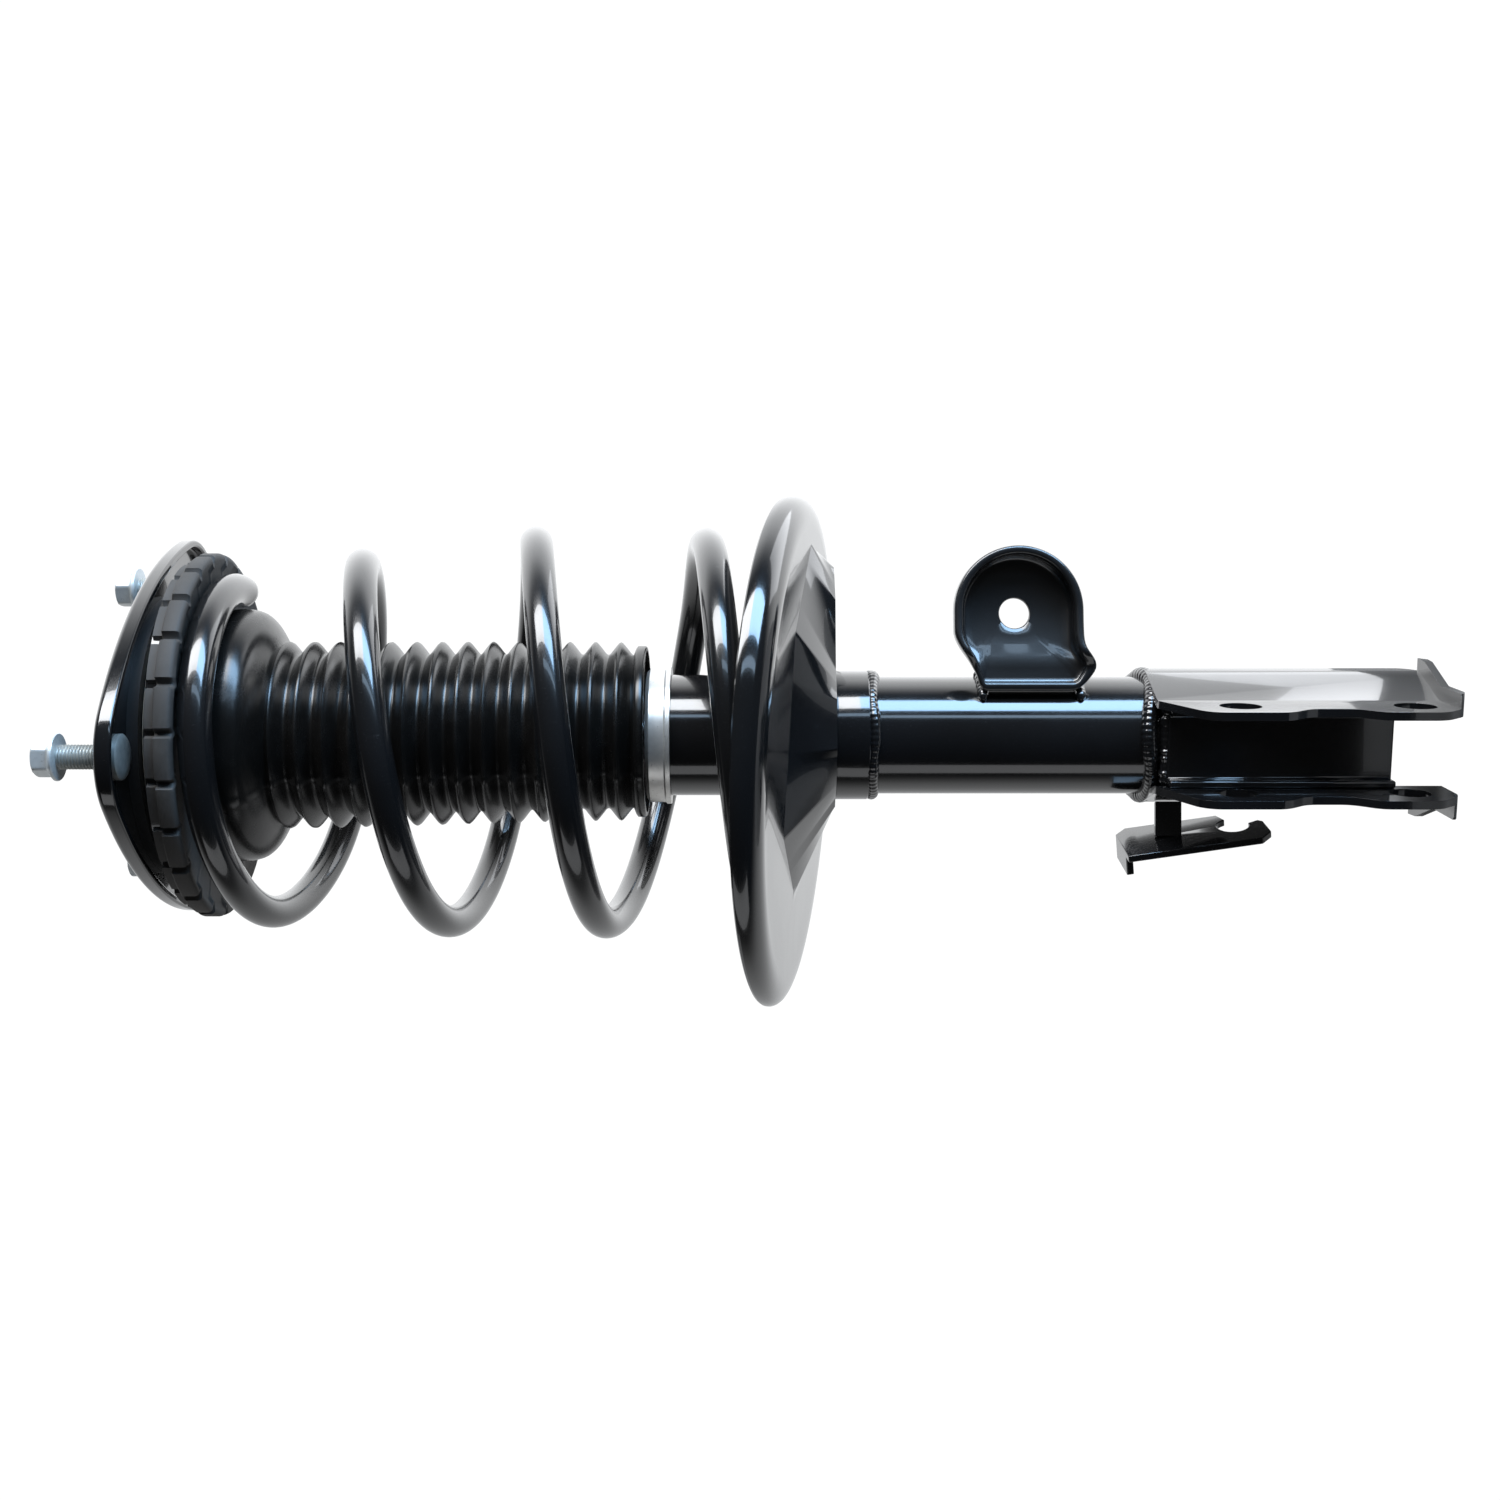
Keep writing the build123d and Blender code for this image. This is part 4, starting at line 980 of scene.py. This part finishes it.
@dataclass
class DishSeat:
    """The pressed lower seat: a tipped dish with a rolled rim and a faceted hub on a flat back."""

    middle: float = -6.7
    radius: float = 106.85
    sheet: float = 3.0
    # the rim is a little oval: these shares of the round reach in Y, at the rim and under the floor
    oval: tuple[float, float] = (0.981, 0.985)
    floor_inset: float = 12.5
    around: int = 360
    back: float = -282.0
    collar_bore: float = 24.7
    collar_r: float = 27.1
    collar_end: float = -296.0
    # heights over the damper axis, and slopes along X and Y, of the rim's and the floor's planes
    rim_plane: Point = (-259.468, -0.040, -0.194)
    floor_plane: Point = (-268.9, -0.058, -0.163)
    # the underside's rows from the collar out: shares at which back, facets and floor begin
    zones: tuple[float, ...] = (0.0, 0.18, 0.62, 1.0)
    zone_rows: tuple[int, ...] = (5, 13, 10)
    floor_corners: tuple[tuple[float, float], ...] = (
        (41.0, -40.0), (80.0, -8.0), (74.0, 44.0), (20.0, 62.0), (-45.0, 55.0), (-67.0, 0.0),
        (-42.0, -40.0),
    )
    back_corners: tuple[tuple[float, float], ...] = (
        (27.0, -16.0), (56.0, -12.0), (71.0, 2.0), (64.0, 40.0), (8.0, 48.0), (-32.0, 36.0),
        (-30.0, -8.0), (-6.0, -30.0), (14.0, -27.0),
    )
    # the rolled rim from the floor outwards: how far in from the edge, and the share of the way
    # from the rim's plane to the floor's
    roll: tuple[tuple[float, float], ...] = (
        (9.5, 0.99), (7.0, 0.95), (4.8, 0.88), (2.8, 0.77), (1.3, 0.64), (0.4, 0.48), (0.0, 0.32),
        (0.1, 0.15), (0.6, 0.05), (1.4, 0.0),
    )
    # the rubber pad's section: radius, and height over the floor's underside
    pad_section: tuple[tuple[float, float], ...] = (
        (68.5, 3.2), (69.2, 6.2), (71.0, 6.9), (79.0, 6.4), (86.0, 6.9), (88.0, 6.0), (88.6, 3.2),
    )

    @staticmethod
    def on_plane(plane: Point, x: Array, y: Array) -> Array:
        """Height of a plane at x and y: its height over the axis plus its slopes' shares."""
        height, along_x, along_y = plane
        return height + along_x * x + along_y * y

    def rim_reach(self, angles: Array, inset: float) -> Array:
        """How far the rim's circle, less an inset, is from the damper axis at each angle."""
        r, m = self.radius - inset, self.middle
        return m * np.cos(angles) + np.sqrt(r**2 - (m * np.sin(angles)) ** 2)

    def rim_row(self, angles: Array, inset: float, share: float) -> Array:
        """One row round the rim: this far in from its edge, this share of the way to the floor."""
        r = self.rim_reach(angles, inset)
        x, y = r * np.cos(angles), self.oval[0] * r * np.sin(angles)
        top, floor = self.on_plane(self.rim_plane, x, y), self.on_plane(self.floor_plane, x, y)
        return np.stack([x, y, top + share * (floor - top)], axis=1)

    def underside(self, angles: Array) -> Array:
        """The underside, from the collar to the floor's edge.

        From the collar to the back's polygon it is flat, up to the floor's polygon it climbs in
        straight lines, and beyond that it lies in the floor's plane.

        Args:
            angles: directions from the damper axis.

        Returns:
            A grid of shape (rows, angles, 3).
        """
        spans = zip(self.zones, self.zones[1:], self.zone_rows)
        shares = [np.linspace(low, high, count) for low, high, count in spans]
        shares = np.concatenate([shares[0], *(span[1:] for span in shares[1:])])
        back = np.maximum(polygon_reach(self.back_corners, angles), self.collar_r + 1.5)
        floor = np.maximum(polygon_reach(self.floor_corners, angles), back + 3.0)
        collar = np.full_like(angles, self.collar_r - 0.3)
        knots = np.stack([collar, back, floor, self.rim_reach(angles, self.floor_inset)], axis=1)
        radius = np.stack([np.interp(shares, self.zones, knot) for knot in knots], axis=1)
        x, y = radius * np.cos(angles), radius * np.sin(angles)
        climb = np.clip((radius - back) / (floor - back), 0.0, 1.0)
        foot = self.on_plane(self.floor_plane, floor * np.cos(angles), floor * np.sin(angles))
        plane = self.on_plane(self.floor_plane, x, y)
        facets = np.minimum(self.back + (foot - self.back) * climb, plane)
        z = np.where(radius >= floor, plane, facets)
        y *= 1.0 - (1.0 - self.oval[1]) * smooth_step(radius, 60.0, 95.0)
        return np.stack([x, y, z], axis=-1)

    def dish(self, finishes: Finishes) -> None:
        """The dish and its collar; the inside is the underside moved by the sheet along its normal."""
        angles = turn(self.around)
        rim = np.stack([self.rim_row(angles, *row) for row in self.roll])
        under = np.concatenate([self.underside(angles), rim])
        normal = np.cross(np.gradient(under, axis=1), np.gradient(under, axis=0))
        normal /= np.linalg.norm(normal, axis=2, keepdims=True) + 1e-9
        outwards = np.sign(-normal[:1, :, 2:3] + 1e-9)
        inside = (under - normal * self.sheet * outwards)[::-1]
        shell = Shell("dish_seat").add(np.concatenate([under, inside[2:]]), Ends.LOOP)
        bore, r, top, end = self.collar_bore, self.collar_r, self.back + 4.0, self.collar_end
        collar = (
            (bore, top), (bore + 1.3, top), (r, top - 3.0), (r, end + 0.6), (r - 0.5, end), (bore, end),
        )
        shell.add(revolved(collar, 96), Ends.LOOP)
        rides(shell.build(finishes.pressed, 24.0), Body.DAMPER, Slot.PAINT, "lower_spring_seat")

    def pad(self, finishes: Finishes) -> None:
        """The rubber ring that the spring's dead coil lies on."""
        angles = turn(240)
        grid = np.stack([ring_at(radius, lift, angles) for radius, lift in self.pad_section])
        grid[..., 2] += self.on_plane(self.floor_plane, grid[..., 0], grid[..., 1])
        obj = Shell("seat_pad").add(grid, Ends.LOOP).build(finishes.insulator, 40.0)
        rides(obj, Body.DAMPER, Slot.INSULATOR, "lower_spring_pad")

    def build(self, finishes: Finishes) -> None:
        """Makes the dish with its collar, and the pad in it."""
        self.dish(finishes)
        self.pad(finishes)


# ---- Link bracket --------------------------------------------------------------------------------


@dataclass
class LinkCup:
    """The stabiliser link's bracket: a pressed cup with rounded bends, a hole and a stepped foot."""

    height: float = -355.9
    reach: float = 50.3
    radius: float = 26.3
    sheet: float = 3.4
    back: float = -11.0
    depth: float = 14.0
    hole: float = 6.3
    foot: float = 18.0
    corner: float = 5.0
    shift: tuple[float, float] = (0.8, -0.6)
    quality: int = 40
    # the foot steps back between these reaches by this much, and its deep rings less than that
    step: tuple[float, float] = (27.0, 35.5)
    step_depth: float = 5.2
    deep: tuple[float, float] = (18.0, 30.0)
    deep_less: float = 6.5
    # the face leans by this much at lean_span from where its lean starts
    lean: float = 4.0
    lean_start: float = 60.0
    lean_span: float = 30.0
    lean_most: float = 1.3
    # the upper side comes in by this much between these reaches
    taper: float = 10.5
    tapered: tuple[float, float] = (20.0, 43.0)
    # the toe: how far it stands out below, the reach of its middle, and its width
    toe: float = 5.5
    toe_at: float = 28.0
    toe_width: float = 6.0

    def loop(self, inset: float) -> Array:
        """The cup's outline, this far in, in the XZ plane.

        It is a half circle with straight sides down to a straight foot with rounded corners.

        Args:
            inset: how far inside the outer edge the outline runs.

        Returns:
            Rows of (x, z), z being measured from the hole.
        """
        n = self.quality
        r = self.radius - inset
        corner = max(self.corner - inset, 0.8)
        left, middle = self.foot + inset, self.reach + self.shift[0]
        bend = left + corner
        half = np.linspace(-np.pi / 2, np.pi / 2, 2 * n, endpoint=False)
        quarter = np.linspace(np.pi / 2, np.pi, n // 4, endpoint=False)
        share = np.linspace(0, 1, n // 2, endpoint=False)
        drop = 1 - 2 * np.linspace(0, 1, n, endpoint=False)
        flat = np.full_like(share, r)
        parts = (
            (middle + r * np.cos(half), r * np.sin(half)),
            (middle + (bend - middle) * share, flat),
            (bend + corner * np.cos(quarter), r - corner + corner * np.sin(quarter)),
            (np.full(n, left), (r - corner) * drop),
            (bend - corner * np.sin(quarter), -(r - corner) + corner * np.cos(quarter)),
            (bend + (middle - bend) * share, -flat),
        )
        rows = np.concatenate([np.stack(part, axis=1) for part in parts])
        return rows + [0.0, self.shift[1]]

    def rings(self) -> list[tuple[float, float, float]]:
        """The cup's rings: share of the way from the hole, inset of the outline there, and Y."""
        s, back = self.sheet, self.back
        face, rim = back - s, back - self.depth
        half = (face + rim) / 2
        floor = s + 3.0
        return [
            (0.0, floor, face + 0.5), (0.02, floor, face), (0.15, floor, face), (0.35, floor, face),
            (0.6, floor, face), (0.85, floor, face), (1.0, s + 2.2, face - 0.1),
            (1.0, s + 1.1, face - 0.7), (1.0, s + 0.35, face - 1.8), (1.0, s, face - 3.2),
            (1.0, s, half), (1.0, s, rim + 1.0), (1.0, s - 0.4, rim + 0.25), (1.0, s - 1.1, rim),
            (1.0, 1.1, rim), (1.0, 0.4, rim + 0.25), (1.0, 0.0, rim + 1.0), (1.0, 0.0, half),
            (1.0, 0.0, back - 5.0), (1.0, 0.4, back - 2.8), (1.0, 1.6, back - 1.0),
            (1.0, 3.4, back - 0.1), (1.0, 5.0, back), (0.5, 5.0, back), (0.04, 5.0, back),
            (0.0, 5.0, back - 0.5),
        ]

    def build(self, finishes: Finishes) -> None:
        """Makes the cup: rings from the hole out over the face, up the wall and back underneath.

        The foot then steps back with a smooth step of x, the face leans with the square of its
        distance from the hole, and the upper side tapers while the lower one bulges to a toe.
        """
        outline = self.loop(0.0) - [self.reach, 0.0]
        around = np.arctan2(outline[:, 1], outline[:, 0])
        hole = self.hole * np.stack([np.cos(around), np.sin(around)], axis=1) + [self.reach, 0.0]
        rows = []
        for share, inset, y in self.rings():
            flat = hole + (self.loop(inset) - hole) * share
            rows.append(np.stack([flat[:, 0], np.full(len(flat), y), flat[:, 1]], axis=1))
        grid = np.stack(rows)
        x, rise = grid[..., 0], grid[..., 2] / self.radius
        stepped = 1.0 - smooth_step(x, *self.step)
        grid[..., 1] -= self.step_depth * stepped
        grid[..., 1] += self.deep_less * stepped * smooth_step(-grid[..., 1], *self.deep)
        leaning = np.clip((self.lean_start - x) / self.lean_span, 0.0, self.lean_most) ** 2
        grid[..., 1] -= self.lean * leaning * (1.0 - stepped)
        narrowed = self.taper * (1.0 - smooth_step(x, *self.tapered)) * np.clip(rise, 0.0, 1.0)
        bulged = self.toe * hump(x, self.toe_at, self.toe_width) * np.clip(-rise, 0.0, 1.0) ** 2
        grid[..., 2] += self.height - narrowed - bulged
        obj = Shell("link_cup").add(grid, Ends.LOOP).build(finishes.cup, 50.0)
        rides(obj, Body.DAMPER, Slot.PAINT, "stabiliser_bracket")


# ---- Clevis, hose bracket and welds --------------------------------------------------------------


@dataclass
class Pressings:
    """Copies of the flat CAD pressings with their edges rounded, as a die leaves them."""

    width: float = 0.9
    sharp: float = 35.0
    merge: float = 0.01
    flat: float = 0.5
    nodes: tuple[tuple[str, Body], ...] = (
        ("knuckle_bracket", Body.DAMPER),
        ("knuckle_web", Body.DAMPER),
        ("hose_bracket", Body.DAMPER),
        ("mount_plate", Body.MOUNT),
    )

    def build(self, finishes: Finishes) -> None:
        """Merges each copy's loose triangles, clears its flats of inner edges and rounds it."""
        for node, body in self.nodes:
            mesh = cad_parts[node].data.copy()
            mesh.materials.clear()
            mesh.materials.append(finishes.pressed)
            work = bmesh.new()
            work.from_mesh(mesh)
            bmesh.ops.remove_doubles(work, verts=work.verts, dist=self.merge * MM)
            bmesh.ops.dissolve_limit(
                work, angle_limit=np.radians(self.flat), verts=work.verts, edges=work.edges
            )
            work.to_mesh(mesh)
            work.free()
            obj = finish_mesh(node + "_pressing", mesh, self.sharp)
            rounding = obj.modifiers.new("rounded", "BEVEL")
            rounding.width = self.width * MM
            rounding.segments = 3
            rounding.limit_method = "ANGLE"
            rounding.angle_limit = np.radians(self.sharp)
            rounding.harden_normals = False
            rides(obj, body, Slot.PAINT, node)


@dataclass
class Welds:
    """Beads of weld under the paint: a rope of overlapping ripples along each joint."""

    ripple: float = 2.3
    ripple_height: float = 0.10
    spacing: float = 0.45
    around: int = 14
    seed: int = 7
    # rings round the tube: radius, height, wave's height, waves a turn, bead size
    rings: tuple[tuple[float, float, float, int, float], ...] = (
        (24.9, -297.2, 0.5, 5, 2.3),
        (25.2, -411.0, 1.6, 3, 3.0),
    )
    # across the web's head, tipped with the ears: the bead's two ends and its size
    head: tuple[Point, Point] = ((-21.4575, -22.625, -416.5), (13.0175, -28.575, -416.5))
    head_size: float = 2.6
    # over and under the link bracket's foot, round the tube
    tube_r: float = 25.2
    foot_heights: tuple[float, float] = (-382.4, -342.4)
    foot_reach: tuple[float, float] = (14.0, 26.5)
    foot_proud: float = 0.4
    foot_size: float = 2.0
    # down the foot's near side
    side: tuple[Point, Point] = ((15.6, -20.6, -379.0), (15.6, -20.6, -345.0))
    side_size: float = 1.9

    def bead(self, shell: Shell, path: Array, size: float, closed: bool = False) -> None:
        """Adds one bead: a tube whose radius swells once per ripple and wanders a little.

        Args:
            shell: what the bead is added to.
            path: its middle line.
            size: its mean radius.
            closed: whether the path is a loop.
        """
        rng = np.random.default_rng(self.seed + shell.count)
        if closed:
            path = np.concatenate([path, path[:1]])
        steps = np.linalg.norm(np.diff(path, axis=0), axis=1)
        length = np.concatenate([[0.0], np.cumsum(steps)])
        at = np.linspace(0.0, length[-1], int(length[-1] / self.spacing), endpoint=not closed)
        line = np.stack([np.interp(at, length, column) for column in path.T], axis=1)
        waves = 1 + self.ripple_height * np.abs(np.sin(np.pi * at / self.ripple))
        turns = 2 * np.pi * at / length[-1]
        wander = sum(
            rng.uniform(-0.05, 0.05) * np.sin(k * turns + rng.uniform(0, 6.28)) for k in range(2, 16)
        )
        radius = size * (waves + wander)
        if not closed:
            to_end = np.minimum(at, length[-1] - at) / size
            radius *= np.sqrt(np.clip(to_end, 0.04, 1.0))
        ends = Ends.LOOP if closed else Ends.CAPPED
        shell.add(tube_along(line, radius, self.around, closed), ends)

    def build(self, finishes: Finishes) -> None:
        """Makes every bead as one piece.

        The link bracket's beads follow the tube: y is minus the square root of (r^2 - x^2).
        """
        shell = Shell("weld_beads")
        angles = turn(120)
        for radius, height, wave, count, size in self.rings:
            path = ring_at(radius, height + wave * np.sin(count * angles), angles)
            self.bead(shell, path, size, closed=True)
        self.bead(shell, np.linspace(*self.head, 50), self.head_size)
        for height in self.foot_heights:
            x = np.linspace(*self.foot_reach, 30)
            y = -np.sqrt(np.clip(self.tube_r**2 - x**2, 4.0, None)) - self.foot_proud
            self.bead(shell, np.stack([x, y, np.full(30, height)], axis=1), self.foot_size)
        self.bead(shell, np.linspace(*self.side, 60), self.side_size)
        rides(shell.build(finishes.weld, 60.0), Body.DAMPER, Slot.PAINT)


# ---- Studio --------------------------------------------------------------------------------------


@dataclass(frozen=True)
class Softbox:
    """A rectangular light: its place and what it faces, in metres, its size, watts and tint.

    The size is its width across and its length along Z.
    """

    name: str
    where: Point
    at: Point
    size: tuple[float, float]
    power: float
    tint: Colour

    def build(self) -> None:
        """Adds the light, hidden from the camera."""
        data = bpy.data.lights.new(self.name, "AREA")
        data.shape, data.size, data.size_y = "RECTANGLE", *self.size
        data.energy, data.color = self.power, self.tint
        obj = bpy.data.objects.new(self.name, data)
        back = (Vector(self.where) - Vector(self.at)).normalized()
        across = Vector((0.0, 0.0, 1.0)).cross(back).normalized()
        turned = Matrix((across, back.cross(across), back)).transposed().to_4x4()
        obj.matrix_world = Matrix.Translation(self.where) @ turned
        obj.visible_camera = False
        bpy.context.scene.collection.objects.link(obj)


@dataclass
class Studio:
    """The camera, a pale floor, a soft white surround and the strip lights."""

    eye: Point = (-0.0063, -0.780, -0.2465)
    lens: float = 44.4
    sensor: float = 36.0
    white: float = 1.05
    floor_gap: float = 0.0006
    floor_r: float = 0.13
    floor_level: float = 0.5
    # what lights the strut: from and to a share of the direction along an axis, then the
    # brightness at either
    depth_ramp: tuple[float, float, float, float] = (-0.15, 0.45, 0.03, 1.0)
    height_ramp: tuple[float, float, float, float] = (-0.5, 0.8, 0.5, 1.8)
    surround_tint: Colour = (0.97, 0.985, 1.0)
    lights: tuple[Softbox, ...] = (
        Softbox("white_strip", (1.30, -0.78, 0.44), (0.0, 0.0, 0.44), (0.62, 1.4), 34.0,
                (0.95, 0.97, 1.0)),
        Softbox("blue_strip", (1.30, -0.78, -0.96), (0.0, 0.0, -0.96), (0.62, 1.4), 44.0,
                (0.42, 0.68, 1.0)),
        Softbox("line_strip", (0.844, -1.18, -0.70), (0.0, 0.0, -0.70), (0.13, 1.7), 2.6,
                (0.55, 0.76, 1.0)),
        Softbox("low_fill", (-1.4, -0.5, -0.3), (0.0, 0.0, -0.26), (0.5, 2.2), 3.0,
                (0.95, 0.97, 1.0)),
        Softbox("clevis_card", (0.62, 0.22, -0.96), (0.02, 0.0, -0.96), (0.56, 0.80), 2.8,
                (0.92, 0.95, 1.0)),
    )

    def camera(self) -> None:
        """Looks along +Y with the top mount to the left and +X up."""
        data = bpy.data.cameras.new("camera")
        data.lens, data.sensor_width = self.lens, self.sensor
        data.clip_start, data.clip_end = 0.01, 50.0
        obj = bpy.data.objects.new("camera", data)
        right, up, back = Vector((0, 0, -1)), Vector((1, 0, 0)), Vector((0, -1, 0))
        turned = Matrix((right, up, back)).transposed().to_4x4()
        obj.matrix_world = Matrix.Translation(self.eye) @ turned
        bpy.context.scene.collection.objects.link(obj)
        bpy.context.scene.camera = obj

    def surround(self) -> None:
        """A white surround to look at; what lights the strut is bright behind it and dim in front."""
        world = bpy.data.worlds.new("surround")
        bpy.context.scene.world = world
        world.use_nodes = True
        nodes = Nodes(world.node_tree)
        where = {0: nodes.add("ShaderNodeTexCoord", output="Generated")}
        depth = nodes.add("ShaderNodeSeparateXYZ", inputs=where, output="Y").ramp(*self.depth_ramp)
        height = nodes.add("ShaderNodeSeparateXYZ", inputs=where, output="X").ramp(*self.height_ramp)
        tint = {"Color": tone(1.0, self.surround_tint), "Strength": depth * height}
        light = nodes.add("ShaderNodeBackground", inputs=tint)
        sight = nodes.add("ShaderNodeBackground", inputs={"Color": tone(1.0), "Strength": self.white})
        nodes.show("ShaderNodeOutputWorld", nodes.by_ray(light, sight))

    def floor(self) -> None:
        """A pale disc just under the strut that looks as white as the surround."""
        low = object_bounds()[0].z - self.floor_gap
        rim = ring_at(self.floor_r, low, turn(96))
        mesh = bpy.data.meshes.new("floor")
        mesh.from_pydata(rim.tolist(), [], [tuple(range(len(rim)))])
        obj = bpy.data.objects.new("floor", mesh)
        bpy.context.scene.collection.objects.link(obj)
        material = bpy.data.materials.new("floor_white")
        material.use_nodes = True
        nodes = Nodes(material.node_tree)
        light = nodes.add("ShaderNodeBsdfDiffuse", inputs={"Color": tone(self.floor_level)})
        sight = nodes.add("ShaderNodeEmission", inputs={"Strength": self.white})
        nodes.show("ShaderNodeOutputMaterial", nodes.by_ray(light, sight))
        mesh.materials.append(material)
        obj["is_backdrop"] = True

    def build(self) -> None:
        """Sets up the camera, the surround, the floor and the lights."""
        self.camera()
        self.surround()
        self.floor()
        for light in self.lights:
            light.build()
        bpy.context.scene.view_settings.view_transform = "Standard"


def main() -> None:
    """Builds the studio and every sub-assembly in order."""
    logging.basicConfig(level=logging.INFO, format="%(message)s")
    Studio().build()
    finishes = Finishes()
    finishes.dress_cad()
    parts = (CoilSpring(), DustBoot(), TopMount(), DishSeat(), LinkCup(), Pressings(), Welds())
    for part in parts:
        LOG.info("building %s", type(part).__name__)
        part.build(finishes)


if __name__ == "__main__":
    main()
